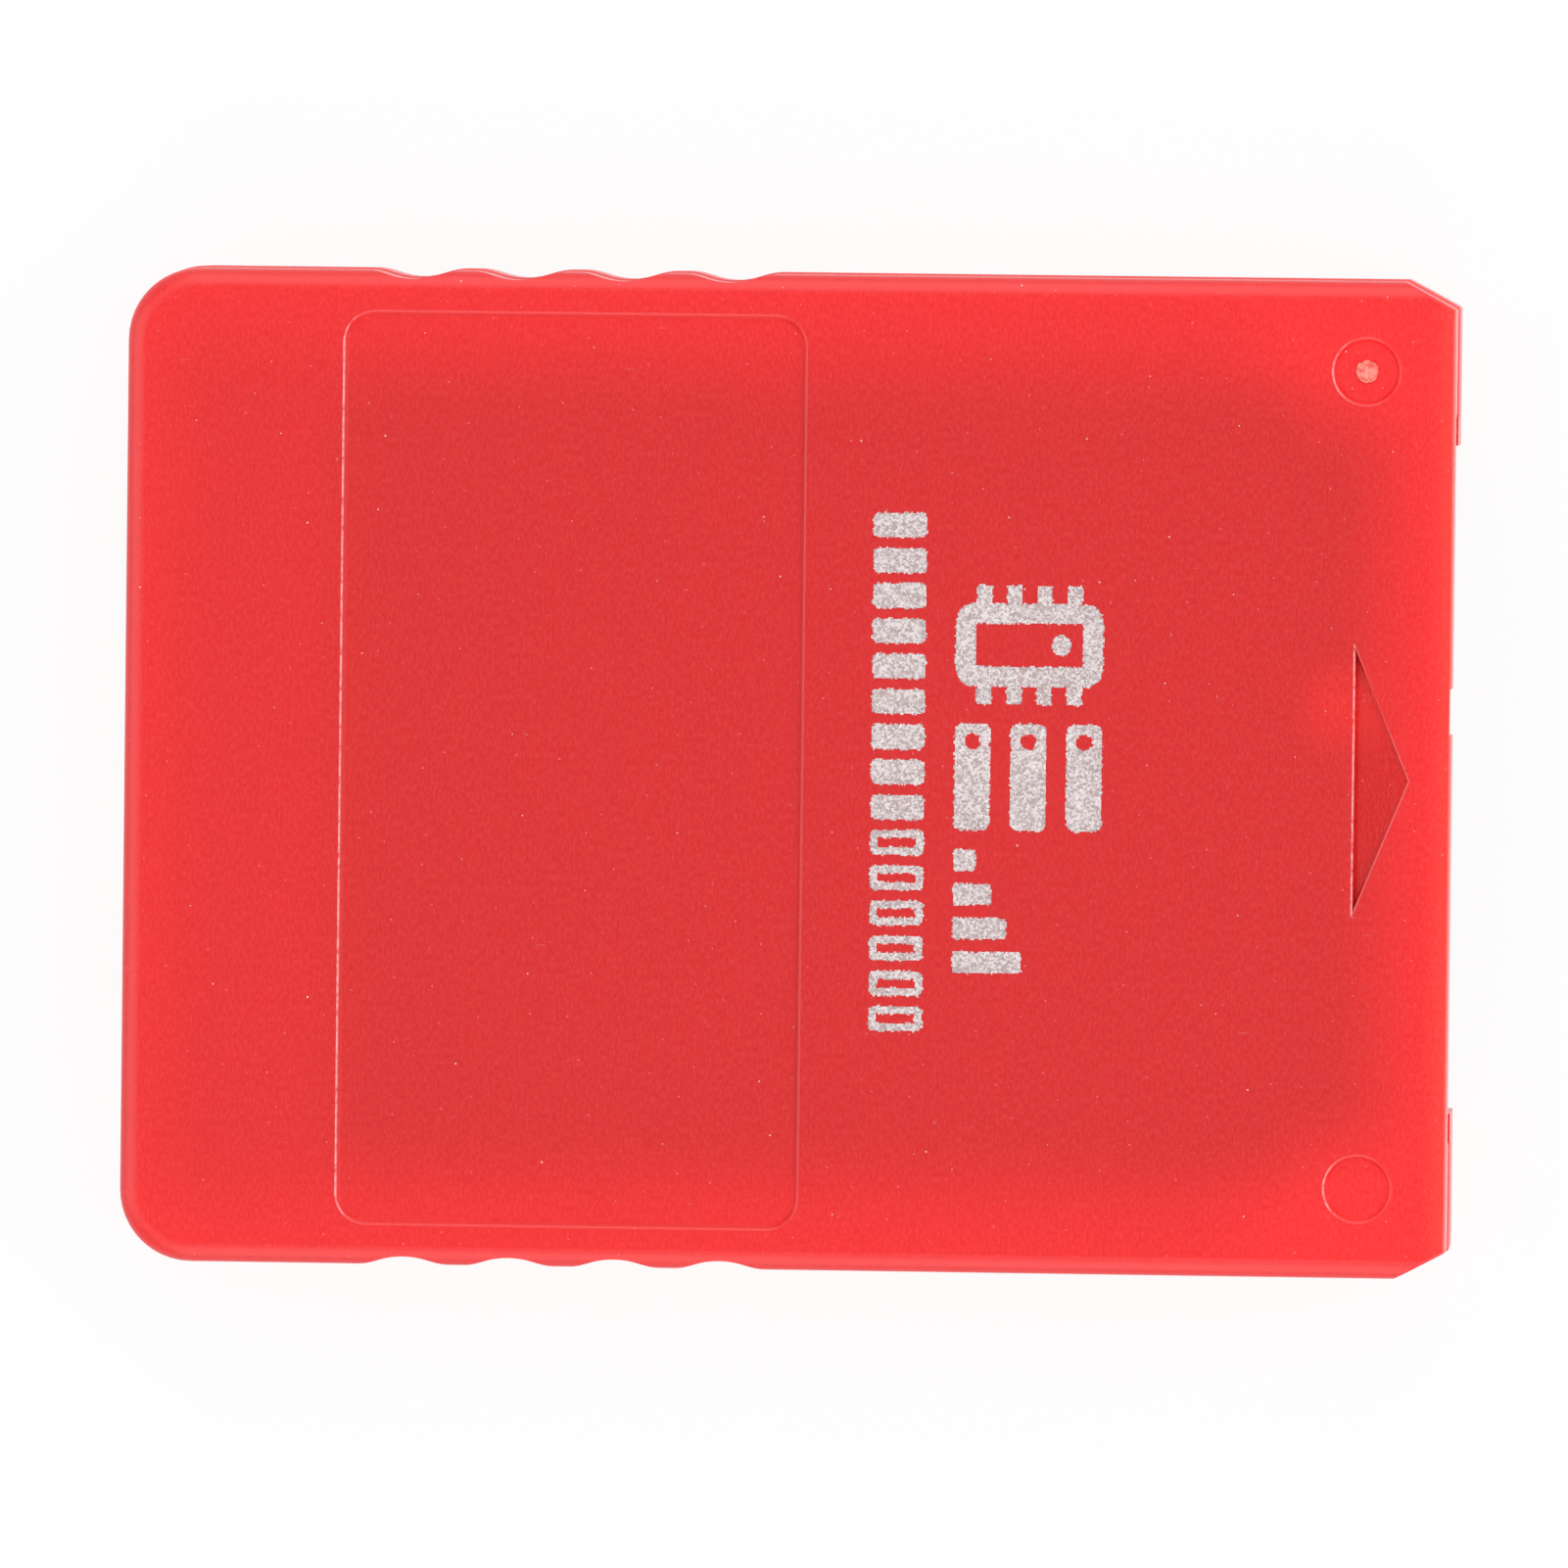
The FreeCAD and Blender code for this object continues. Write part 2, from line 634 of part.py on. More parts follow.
def raise_board_seats(body):
    """Walls round the mouth, seats with stops at the rear corners, and posts in the board's notches."""
    floor = "sizes.floor_plate"
    clearance = "sizes.fit_clearance"

    sketch = new_sketch(body, "cheek_outline", PARTING)
    outline(sketch, [
        (CROSS_REAR, minus(CHEEK_SIDE)),
        (NOSE, minus(CHEEK_SIDE)),
        (NOSE, minus(MOUTH_SIDE)),
        (MOUTH_REAR, minus(MOUTH_SIDE)),
        (MOUTH_REAR, MOUTH_SIDE),
        (NOSE, MOUTH_SIDE),
        (NOSE, CHEEK_SIDE),
        (CROSS_REAR, CHEEK_SIDE),
    ])
    pad(body, "cheeks", sketch, f"{BOARD_LOW} - {PARTING}")

    sketch = new_sketch(body, "seat_outline", floor)
    mirrored_rectangles(sketch, SEAT_REAR, SEAT_FRONT, SEAT_INNER, SEAT_OUTER)
    pad(body, "seats", sketch, f"{BOARD_LOW} - {floor}")

    sketch = new_sketch(body, "stop_outline", BOARD_LOW)
    stop_front = f"{BOARD_REAR} - {clearance}"
    stop_side = f"{NOTCH_SIDE} + {clearance}"
    outline(sketch, [
        (SEAT_REAR, SEAT_INNER), (stop_front, SEAT_INNER), (stop_front, stop_side),
        (SEAT_FRONT, stop_side), (SEAT_FRONT, SEAT_OUTER), (SEAT_REAR, SEAT_OUTER),
    ])
    outline(sketch, [
        (SEAT_REAR, minus(SEAT_INNER)), (SEAT_REAR, minus(SEAT_OUTER)), (SEAT_FRONT, minus(SEAT_OUTER)),
        (SEAT_FRONT, minus(stop_side)), (stop_front, minus(stop_side)), (stop_front, minus(SEAT_INNER)),
    ])
    pad(body, "stops", sketch, "sizes.board_thickness")

    sketch = new_sketch(body, "post_outline", floor)
    mirrored_circles(sketch, POST_X, BOARD_SIDE, "sizes.post_notch_radius + sizes.post_collar")
    pad(body, "posts", sketch, f"{BOARD_LOW} - {floor}")

    sketch = new_sketch(body, "post_pin_outline", BOARD_LOW)
    mirrored_circles(sketch, POST_X, BOARD_SIDE, f"sizes.post_notch_radius - {clearance}")
    pad(body, "post_pins", sketch, "sizes.board_thickness")


# Circuit board and its contacts
def make_circuit_board():
    body = new_body("circuit_board")
    half = [
        (BOARD_NOSE, TONGUE_SIDE), (TONGUE_ROOT, TONGUE_SIDE), (TONGUE_ROOT, EAR_SIDE), (EAR_REAR, EAR_SIDE),
        (EAR_REAR, BOARD_SIDE), (NOTCH_END, BOARD_SIDE), (NOTCH_END, NOTCH_SIDE), (BOARD_REAR, NOTCH_SIDE),
    ]
    sketch = new_sketch(body, "board_outline", BOARD_LOW)
    outline(sketch, half + [(x, minus(y)) for x, y in reversed(half)])
    pad(body, "board_blank", sketch, "sizes.board_thickness")

    sketch = new_sketch(body, "board_cut_outline", BOARD_LOW)
    rectangle(sketch, f"{BOARD_NOSE} - sizes.key_slot_length", f"{BOARD_NOSE} + sizes.board_setback",
              KEY_LOW, KEY_HIGH)
    mirrored_circles(sketch, POST_X, BOARD_SIDE, "sizes.post_notch_radius")
    pocket(body, "board_cuts", sketch, FACE, upward=True)

    nose = value(BOARD_NOSE)
    underside = value(BOARD_LOW)
    dress(body, "Chamfer", "tongue_bevel", "sizes.board_bevel",
          lambda edge: lies_at(edge, underside) and edge.BoundBox.XMin > nose - TOLERANCE)


def make_box(name, x, y, z, length, width, height):
    """Box from its middle in x and y and its lowest z."""
    box = doc.addObject("Part::Box", name)
    box.Label = name
    box.setExpression("Length", length)
    box.setExpression("Width", width)
    box.setExpression("Height", height)
    box.setExpression("Placement.Base.x", f"{x} - ({length}) / 2")
    box.setExpression("Placement.Base.y", f"{y} - ({width}) / 2")
    box.setExpression("Placement.Base.z", z)
    return box


def make_contacts():
    for number, place in enumerate(CONTACT_PLACES, start=1):
        contact = make_box(
            f"contact_{number}",
            f"{CONTACT_REAR} + sizes.contact_length / 2",
            f"{place} * sizes.contact_pitch",
            f"{BOARD_LOW} - sizes.contact_thickness",
            "sizes.contact_length", "sizes.contact_width", "sizes.contact_thickness")
        pieces.append(contact)


# Parts on the underside of the board
def place_on_board(body, x, y):
    """Set a body's own origin on the underside of the board."""
    body.setExpression("Placement.Base.x", x)
    body.setExpression("Placement.Base.y", y)
    body.setExpression("Placement.Base.z", BOARD_LOW)


def make_chip_body(name, length, width, thickness, x, y, marked):
    """Moulded block under the board; a round mark shows its first lead."""
    body = new_body(name)
    place_on_board(body, x, y)
    low = f"-sizes.chip_standoff - {thickness}"
    sketch = new_sketch(body, f"{name}_outline", low)
    rectangle(sketch, f"-{width} / 2", f"{width} / 2", f"-{length} / 2", f"{length} / 2")
    pad(body, f"{name}_block", sketch, thickness)
    if marked:
        sketch = new_sketch(body, f"{name}_mark_outline", low)
        circle(sketch, f"-{width} / 2 + sizes.mark_inset", f"{length} / 2 - sizes.mark_inset",
               "sizes.mark_diameter / 2")
        pocket(body, f"{name}_mark", sketch, "sizes.mark_depth", upward=True)


def make_lead(body, name, side, thickness, across, width, facing=1):
    """Bent lead from the block's side at half its thickness to a foot on the board."""
    middle = f"-sizes.chip_standoff - {thickness} / 2"
    strip = "sizes.lead_thickness"
    arm = f"({side} + sizes.lead_arm)"
    tip = f"({side} + sizes.lead_reach)"
    profile = [
        (side, f"{middle} - {strip} / 2"),
        (arm, f"{middle} - {strip} / 2"),
        (arm, f"-{strip}"),
        (tip, f"-{strip}"),
        (tip, "0"),
        (f"({arm} - {strip})", "0"),
        (f"({arm} - {strip})", f"{middle} + {strip} / 2"),
        (side, f"{middle} + {strip} / 2"),
    ]
    sketch = new_sketch(body, f"{name}_profile", f"{across} - {width} / 2", "YZ_Plane")
    outline(sketch, [(f"{facing} * {y}", z) for y, z in profile])
    return pad(body, name, sketch, width)


def row_of_leads(body, name, pitch, count):
    row = body.newObject("PartDesign::LinearPattern", name)
    row.Direction = (origin_feature(body, "X_Axis"), [""])
    row.Mode = "Spacing"
    row.setExpression("Offset", pitch)
    row.setExpression("Occurrences", count)
    return row


def repeat(body, name, original, steps):
    """Repeat one feature by several patterns in turn."""
    group = body.newObject("PartDesign::MultiTransform", name)
    group.Originals = [original]
    group.Transformations = steps
    body.Tip = group


def make_memory_chip():
    make_chip_body("memory_chip", "sizes.memory_length", MEMORY_WIDTH, "sizes.memory_thickness",
                   MEMORY_X, "0", True)
    body = new_body("memory_chip_leads")
    body.AllowCompound = True
    place_on_board(body, MEMORY_X, "0")
    count = "sizes.memory_leads_per_end"
    first = f"-({count} - 1) * sizes.memory_pitch / 2"
    lead = make_lead(body, "memory_lead", "sizes.memory_length / 2", "sizes.memory_thickness",
                     first, "sizes.lead_width")
    row = row_of_leads(body, "memory_lead_row", "sizes.memory_pitch", count)
    other_end = body.newObject("PartDesign::Mirrored", "memory_lead_other_end")
    other_end.MirrorPlane = (origin_feature(body, "XZ_Plane"), [""])
    repeat(body, "memory_leads", lead, [row, other_end])


def make_controller_chip():
    y = "sizes.controller_offset"
    make_chip_body("controller_chip", CONTROLLER_WIDTH, CONTROLLER_WIDTH, "sizes.controller_thickness",
                   CONTROLLER_X, y, True)
    body = new_body("controller_chip_leads")
    body.AllowCompound = True
    place_on_board(body, CONTROLLER_X, y)
    count = "sizes.controller_leads_per_side"
    first = f"-({count} - 1) * sizes.controller_pitch / 2"
    lead = make_lead(body, "controller_lead", f"{CONTROLLER_WIDTH} / 2", "sizes.controller_thickness",
                     first, "sizes.lead_width")
    row = row_of_leads(body, "controller_lead_row", "sizes.controller_pitch", count)
    turn = body.newObject("PartDesign::PolarPattern", "controller_lead_sides")
    turn.Axis = (origin_feature(body, "Z_Axis"), [""])
    turn.Angle = FULL_TURN
    turn.Occurrences = CHIP_SIDES
    repeat(body, "controller_leads", lead, [row, turn])


def make_voltage_regulator():
    """Block with two leads on one side and one on the other."""
    y = "-sizes.regulator_offset"
    make_chip_body("voltage_regulator", "sizes.regulator_width", REGULATOR_LENGTH,
                   "sizes.regulator_thickness", RESISTOR_X, y, False)
    body = new_body("regulator_leads")
    body.AllowCompound = True
    place_on_board(body, RESISTOR_X, y)
    pitch = "sizes.regulator_pitch"
    side = "sizes.regulator_width / 2"
    width = "sizes.regulator_lead_width"
    thickness = "sizes.regulator_thickness"
    pair = make_lead(body, "regulator_lead", side, thickness, f"-{pitch}", width)
    row = row_of_leads(body, "regulator_lead_row", f"2 * {pitch}", "2")
    row.Originals = [pair]
    body.Tip = row
    make_lead(body, "regulator_single_lead", side, thickness, "0", width, facing=-1)


def make_clock_crystal():
    body = new_body("clock_crystal")
    place_on_board(body, CONTROLLER_X, "-sizes.crystal_offset")
    sketch = new_sketch(body, "crystal_outline", "-sizes.crystal_thickness")
    half_length = "sizes.crystal_length / 2"
    half_width = "sizes.crystal_width / 2"
    rectangle(sketch, minus(half_width), half_width, minus(half_length), half_length)
    pad(body, "crystal_can", sketch, "sizes.crystal_thickness")
    fillet(body, "crystal_corners", "sizes.crystal_radius",
           lambda edge: edge.BoundBox.XLength < TOLERANCE and edge.BoundBox.YLength < TOLERANCE)


def make_capped_chip(name, size, x, y):
    """Small block with a metal cap on each end, lying along the board."""
    length = f"sizes.{size}_length"
    width = f"sizes.{size}_width"
    thickness = f"sizes.{size}_thickness"
    cap = "sizes.end_cap"
    low = f"{BOARD_LOW} - {thickness}"
    reach = f"({length} - {cap}) / 2"
    parts = [
        make_box(f"{name}_block", x, y, low, f"{length} - 2 * {cap}", width, thickness),
        make_box(f"{name}_front_cap", f"{x} + {reach}", y, low, cap, width, thickness),
        make_box(f"{name}_rear_cap", f"{x} - {reach}", y, low, cap, width, thickness),
    ]
    whole = doc.addObject("Part::Compound", name)
    whole.Label = name
    whole.Links = parts
    pieces.append(whole)


def make_capacitors():
    for number in range(CAPACITOR_COUNT):
        y = f"{number - (CAPACITOR_COUNT - 1) / 2} * sizes.capacitor_spacing"
        make_capped_chip(f"capacitor_{number + 1}", "capacitor", CAPACITOR_X, y)


def make_resistors():
    for number in range(RESISTOR_COUNT):
        y = f"sizes.resistor_offset + {number - (RESISTOR_COUNT - 1) / 2} * sizes.resistor_spacing"
        make_capped_chip(f"resistor_{number + 1}", "resistor", RESISTOR_X, y)


def check_and_write():
    """Stop on any failed object, then write one file for each piece."""
    doc.recompute()
    for item in doc.Objects:
        if "Invalid" in item.State or "Error" in item.State:
            raise RuntimeError(f"{item.Label} failed: {item.State}")
    os.makedirs("parts", exist_ok=True)
    for piece in pieces:
        shape = piece.Shape
        if shape.isNull() or not shape.isValid() or not shape.Solids:
            raise RuntimeError(f"{piece.Label} has no valid solid")
    for piece in pieces:
        piece.Shape.exportStep(f"parts/{piece.Label}.step")


make_front_shell()
make_rear_shell()
make_circuit_board()
make_contacts()
make_memory_chip()
make_controller_chip()
make_voltage_regulator()
make_clock_crystal()
make_capacitors()
make_resistors()
check_and_write()
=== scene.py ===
"""Looks of the memory card: frosted red shells, silver print on the face, board, contacts and chips."""

import math

import bmesh
import bpy
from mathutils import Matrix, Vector, noise


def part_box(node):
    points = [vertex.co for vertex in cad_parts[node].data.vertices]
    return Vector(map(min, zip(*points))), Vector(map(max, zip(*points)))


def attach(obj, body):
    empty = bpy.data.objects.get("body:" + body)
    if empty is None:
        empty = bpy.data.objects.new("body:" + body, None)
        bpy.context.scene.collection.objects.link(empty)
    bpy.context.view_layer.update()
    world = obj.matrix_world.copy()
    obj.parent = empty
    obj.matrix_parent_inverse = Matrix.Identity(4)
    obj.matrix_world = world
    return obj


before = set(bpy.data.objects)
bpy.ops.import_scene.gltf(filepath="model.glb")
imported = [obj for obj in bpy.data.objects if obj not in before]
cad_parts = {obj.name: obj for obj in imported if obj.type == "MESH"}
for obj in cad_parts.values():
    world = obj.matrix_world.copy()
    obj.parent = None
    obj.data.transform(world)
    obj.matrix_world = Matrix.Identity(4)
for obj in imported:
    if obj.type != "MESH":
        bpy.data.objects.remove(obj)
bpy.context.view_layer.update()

MM = 0.001

# Places read from the frame, in millimetres
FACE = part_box("front_shell")[1].z / MM
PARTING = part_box("front_shell")[0].z / MM
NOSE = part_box("rear_shell")[1].x / MM
BOARD_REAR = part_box("circuit_board")[0].x / MM
BOARD_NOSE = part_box("circuit_board")[1].x / MM

# Other places on the card, in millimetres. The sides of a field are (left, right, low, high) in plan.
CAVITY_REAR = -26.2
CAVITY_SIDE = 18.8
CROSS_WALL = 20.0
BOARD_SIDE = 16.25
TONGUE_ROOT = 21.5
TONGUE_SIDE = 15.3
KEY_MIDDLE = 3.1
KEY_HALF = 1.4
DIMPLE = (24.21, 17.135)
DIMPLE_RADIUS = 1.44
LABEL = (-18.77, 0.73, -19.22, 19.22)
LABEL_RADIUS = 1.3
ARROW = (23.7, 26.4, -5.8, 5.8)
ARROW_BASE = (23.77, 23.83, -5.65, 5.65)
END_CAP = 0.3

# Reds of the plastic: its own red, painted shade where the hollow, board and chips lie behind it and on the
# arrow's floor, painted light at the nose and keyway, the gate's reds, a pink for frost and painted
# highlights, and dust
RIM_RED = (0.865, 0.012, 0.014, 1)
NOSE_LIGHT_RED = (0.94, 0.044, 0.028, 1)
HOLLOW_SHADE_RED = (0.685, 0.0075, 0.0095, 1)
BOARD_SHADE_RED = (0.605, 0.0065, 0.0075, 1)
KEYWAY_LIGHT_RED = (0.735, 0.0115, 0.0095, 1)
CHIP_SHADE_RED = (0.56, 0.004, 0.004, 1)
ARROW_SHADE_RED = (0.63, 0.002, 0.002, 1)
GATE_RED = (0.80, 0.08, 0.06, 1)
GATE_PINK = (0.93, 0.27, 0.21, 1)
FROST_AND_HIGHLIGHT_PINK = (0.98, 0.50, 0.49, 1)
DUST_WHITE = (0.95, 0.80, 0.78, 1)

# Colours of the board and what it carries
LACQUER_GREEN = (0.008, 0.10, 0.035, 1)
LACQUER_PALE = (0.010, 0.12, 0.045, 1)
TRACK_GREEN = (0.016, 0.18, 0.07, 1)
SAWN_FIBRE = (0.42, 0.33, 0.14, 1)
GOLD = (0.86, 0.58, 0.20, 1)
GOLD_WIPED = (0.94, 0.72, 0.36, 1)
TIN = (0.74, 0.74, 0.72, 1)
TIN_DULL = (0.60, 0.60, 0.58, 1)
NICKEL = (0.80, 0.79, 0.76, 1)
NICKEL_DULL = (0.70, 0.69, 0.67, 1)
END_CAP_TIN = (0.72, 0.72, 0.70, 1)
RESIN_BLACK = (0.016, 0.016, 0.018)
CAPACITOR_BROWN = (0.30, 0.19, 0.10, 1)
RESISTOR_BLACK = (0.02, 0.02, 0.022, 1)

# Silver ink
SILVER_DULL = (0.41, 0.315, 0.315, 1)
SILVER_BRIGHT = (0.76, 0.69, 0.69, 1)

# Plastic of the shells: how much it bends light, its grain in millimetres, drawn out along Y,
# and the share of its roughness that is left on upright walls and on the arrow's floor
PLASTIC_IOR = 1.55
SHELL_GRAIN = 0.11
GRAIN_DRAW = (1, 0.45, 1)
WALL_POLISH = 0.75
ARROW_POLISH = 0.35

# How strongly the marks on the plastic show: painted shade on the arrow's floor, painted highlights on
# bevels, rims, nose and parting line, and frost
ARROW_SHADE_WEIGHT = 0.9
BEVEL_HIGHLIGHT_WEIGHT = 0.16
RIM_HIGHLIGHT_WEIGHT = 0.8
NOSE_HIGHLIGHT_WEIGHT = 0.2
PARTING_HIGHLIGHT_WEIGHT = 0.32
FROST_WEIGHT = 0.022

# Painted highlights on edges, in millimetres: the depth of the nose's end, and the reach and core of the
# parting line
NOSE_DEPTH = 0.5
PARTING_REACH = 0.18
PARTING_CORE = 0.04

# Dust: turn about Z, cells to a metre, size in a cell, share of cells that hold one, and weight
DUST_KINDS = (
    (0.0, (300, 300, 1), 0.0095, 0.5, 0.5),
    (0.5, (700, 700, 1), 0.021, 0.6, 0.16),
    (0.9, (150, 1700, 1), 0.03, 0.05, 0.06),
)

# Stub of the moulding gate, in millimetres: a ball, scaled to a flat shape, with a torn top
GATE_RADIUS = 0.475
GATE_HEIGHT = 7.74
GATE_SHAPE = (1.02, 1.02, 0.16)
TEAR_SIZE = 0.16
TEAR_DEPTH = 0.16


# Nodes
def add_node(tree, kind, inputs=None, **options):
    """Add a node, set its options, and link or set its inputs."""
    made = tree.nodes.new(kind)
    for option, value in options.items():
        setattr(made, option, value)
    for socket, value in (inputs or {}).items():
        if isinstance(value, bpy.types.NodeSocket):
            tree.links.new(value, made.inputs[socket])
        else:
            made.inputs[socket].default_value = value
    return made


def calculate(tree, operation, first, second=0.0):
    return add_node(tree, "ShaderNodeMath", {0: first, 1: second}, operation=operation).outputs[0]


def times(tree, first, second):
    return calculate(tree, "MULTIPLY", first, second)


def calculate_vector(tree, operation, first, second=(0, 0, 0)):
    made = add_node(tree, "ShaderNodeVectorMath", {0: first, 1: second}, operation=operation)
    return made.outputs["Value" if operation == "LENGTH" else "Vector"]


def axes_of(tree, vector):
    """X, Y and Z of a vector."""
    return add_node(tree, "ShaderNodeSeparateXYZ", {0: vector}).outputs


def facing_of(tree):
    """X, Y and Z of the way that the surface faces."""
    return axes_of(tree, add_node(tree, "ShaderNodeNewGeometry").outputs["True Normal"])


def fade(tree, value, start, end, low=0.0, high=1.0):
    """Low at start and before it, high at end and beyond it, smooth between."""
    inputs = {"Value": value, "From Min": start, "From Max": end, "To Min": low, "To Max": high}
    return add_node(tree, "ShaderNodeMapRange", inputs, interpolation_type="SMOOTHSTEP").outputs[0]


def mix_colours(tree, share, first, second):
    """First colour, and second as far as share goes. A Mix node has its colours at sockets 6 and 7."""
    return add_node(tree, "ShaderNodeMix", {0: share, 6: first, 7: second}, data_type="RGBA").outputs[2]


def scale_colour(tree, colour, factor):
    """Colour times a value."""
    return calculate_vector(tree, "MULTIPLY", colour, factor)


def new_group(name, inputs, outputs):
    """Empty node group. Inputs are (name, socket type, value), outputs (name, socket type)."""
    group = bpy.data.node_groups.new(name, "ShaderNodeTree")
    for label, kind, value in inputs:
        group.interface.new_socket(label, in_out="INPUT", socket_type=kind).default_value = value
    for label, kind in outputs:
        group.interface.new_socket(label, in_out="OUTPUT", socket_type=kind)
    entry = group.nodes.new("NodeGroupInput")
    leave = group.nodes.new("NodeGroupOutput")
    return group, entry.outputs, leave.inputs


def place_group(tree, group, **inputs):
    """Place a node group. An input is its socket's name in small letters, with _ for a space."""
    sockets = {label.replace("_", " ").capitalize(): value for label, value in inputs.items()}
    return add_node(tree, "ShaderNodeGroup", sockets, node_tree=group).outputs


def new_material(name, **uniform):
    """Material with a Principled BSDF. Uniform values are set on the shader's own sockets."""
    material = bpy.data.materials.new(name)
    material.use_nodes = True
    tree = material.node_tree
    shader = tree.nodes["Principled BSDF"]
    for label, value in uniform.items():
        shader.inputs[label.replace("_", " ")].default_value = value
    return material, tree, shader


def object_place(tree):
    return add_node(tree, "ShaderNodeTexCoord").outputs["Object"]


def bump(tree, shader, height, strength, depth):
    """Relief whose depth is in millimetres."""
    made = add_node(tree, "ShaderNodeBump", {"Height": height, "Strength": strength, "Distance": depth * MM})
    tree.links.new(made.outputs["Normal"], shader.inputs["Normal"])


# Shared effects
def make_soft_field():
    """Rounded rectangle in plan: a mask, 1 inside and fading across its edge, and the distance to it."""
    group, given, result = new_group("soft_field", [
        ("Place", "NodeSocketVector", (0, 0, 0)),
        ("Centre", "NodeSocketVector", (0, 0, 0)),
        ("Half size", "NodeSocketVector", (1, 1, 0)),
        ("Radius", "NodeSocketFloat", 0.0),
        ("Softness", "NodeSocketFloat", 0.001),
    ], [("Mask", "NodeSocketFloat"), ("Distance", "NodeSocketFloat")])
    flat = calculate_vector(group, "MULTIPLY", given["Place"], (1, 1, 0))
    offset = calculate_vector(group, "SUBTRACT", flat, given["Centre"])
    offset = calculate_vector(group, "ABSOLUTE", offset)
    beyond = calculate_vector(group, "SUBTRACT", offset, given["Half size"])
    rounding = add_node(group, "ShaderNodeCombineXYZ", {0: given["Radius"], 1: given["Radius"]}).outputs[0]
    beyond = calculate_vector(group, "ADD", beyond, rounding)
    outside = calculate_vector(group, "LENGTH", calculate_vector(group, "MAXIMUM", beyond, (0, 0, 0)))
    axes = axes_of(group, beyond)
    inside = calculate(group, "MINIMUM", calculate(group, "MAXIMUM", axes["X"], axes["Y"]), 0.0)
    distance = calculate(group, "SUBTRACT", calculate(group, "ADD", outside, inside), given["Radius"])
    group.links.new(distance, result["Distance"])
    share = calculate(group, "DIVIDE", distance, given["Softness"])
    group.links.new(fade(group, share, 1.0, -1.0), result["Mask"])
    return group


def make_mould_grain():
    """Fine spark-eroded texture of the mould: a height, and a tone near 1 with broad clouds in it."""
    cloud_scale = 0.11
    cloud_share = 0.2
    mean = (1 + cloud_share) / 2
    group, given, result = new_group("mould_grain", [
        ("Place", "NodeSocketVector", (0, 0, 0)),
        ("Grain size", "NodeSocketFloat", 0.0002),
        ("Tone swing", "NodeSocketFloat", 0.03),
    ], [("Height", "NodeSocketFloat"), ("Tone", "NodeSocketFloat")])
    count = calculate(group, "DIVIDE", 1.0, given["Grain size"])
    fine = add_node(group, "ShaderNodeTexNoise", {
        "Vector": given["Place"], "Scale": count, "Detail": 3.0, "Roughness": 0.62}).outputs[0]
    clouds = add_node(group, "ShaderNodeTexNoise", {
        "Vector": given["Place"], "Scale": times(group, count, cloud_scale), "Detail": 0.0}).outputs[0]
    group.links.new(fine, result["Height"])
    mottle = calculate(group, "ADD", fine, times(group, clouds, cloud_share))
    swing = times(group, calculate(group, "SUBTRACT", mottle, mean), given["Tone swing"])
    group.links.new(calculate(group, "ADD", swing, 1.0), result["Tone"])
    return group


def make_specks():
    """Mask of sparse specks in plan, on level faces. Stretch draws them out into lint and hairlines."""
    smallest = 0.35
    level_from = 0.7
    group, given, result = new_group("specks", [
        ("Place", "NodeSocketVector", (0, 0, 0)),
        ("Turn", "NodeSocketVector", (0, 0, 0)),
        ("Stretch", "NodeSocketVector", (200, 200, 1)),
        ("Size", "NodeSocketFloat", 0.01),
        ("Share", "NodeSocketFloat", 0.5),
    ], [("Mask", "NodeSocketFloat")])
    mapping = add_node(group, "ShaderNodeMapping", {
        "Vector": given["Place"], "Rotation": given["Turn"], "Scale": given["Stretch"]})
    cells = add_node(group, "ShaderNodeTexVoronoi", {"Vector": mapping.outputs[0], "Scale": 1.0},
                     voronoi_dimensions="2D")
    draw = add_node(group, "ShaderNodeSeparateColor", {0: cells.outputs["Color"]}).outputs
    radius = times(group, given["Size"], calculate(group, "ADD", draw["Red"], smallest))
    inside = calculate(group, "LESS_THAN", cells.outputs["Distance"], radius)
    chosen = calculate(group, "LESS_THAN", draw["Green"], given["Share"])
    upright = calculate(group, "ABSOLUTE", facing_of(group)["Z"])
    level = calculate(group, "GREATER_THAN", upright, level_from)
    group.links.new(times(group, times(group, inside, chosen), level), result["Mask"])
    return group


def make_rim_highlight():
    """Mask of a broken painted highlight along a rim, on the side that faces the nose."""
    breaks_to_a_metre = 3800.0
    group, given, result = new_group("rim_highlight", [
        ("Place", "NodeSocketVector", (0, 0, 0)),
        ("Distance", "NodeSocketFloat", 0.0),
        ("Width", "NodeSocketFloat", 0.00008),
    ], [("Mask", "NodeSocketFloat")])
    near = fade(group, given["Distance"], given["Width"], 0.0)
    breaks = add_node(group, "ShaderNodeTexNoise", {
        "Vector": given["Place"], "Scale": breaks_to_a_metre, "Detail": 2.0}).outputs[0]
    # The painted highlight falls only on the side that faces the nose
    to_nose = fade(group, facing_of(group)["X"], 0.1, 0.5)
    share = times(group, fade(group, breaks, 0.25, 0.62), to_nose)
    group.links.new(times(group, near, share), result["Mask"])
    return group


soft_field = make_soft_field()
mould_grain = make_mould_grain()
specks = make_specks()
rim_highlight = make_rim_highlight()


def place_grain(tree, place, size, swing):
    """Mould grain whose size is in millimetres."""
    return place_group(tree, mould_grain, place=place, grain_size=size * MM, tone_swing=swing)


def place_field(tree, place, sides, **values):
    """Soft field with these sides, in millimetres."""
    left, right, low, high = sides
    centre = ((left + right) / 2 * MM, (low + high) / 2 * MM, 0)
    half = ((right - left) / 2 * MM, (high - low) / 2 * MM, 0)
    return place_group(tree, soft_field, place=place, centre=centre, half_size=half, **values)


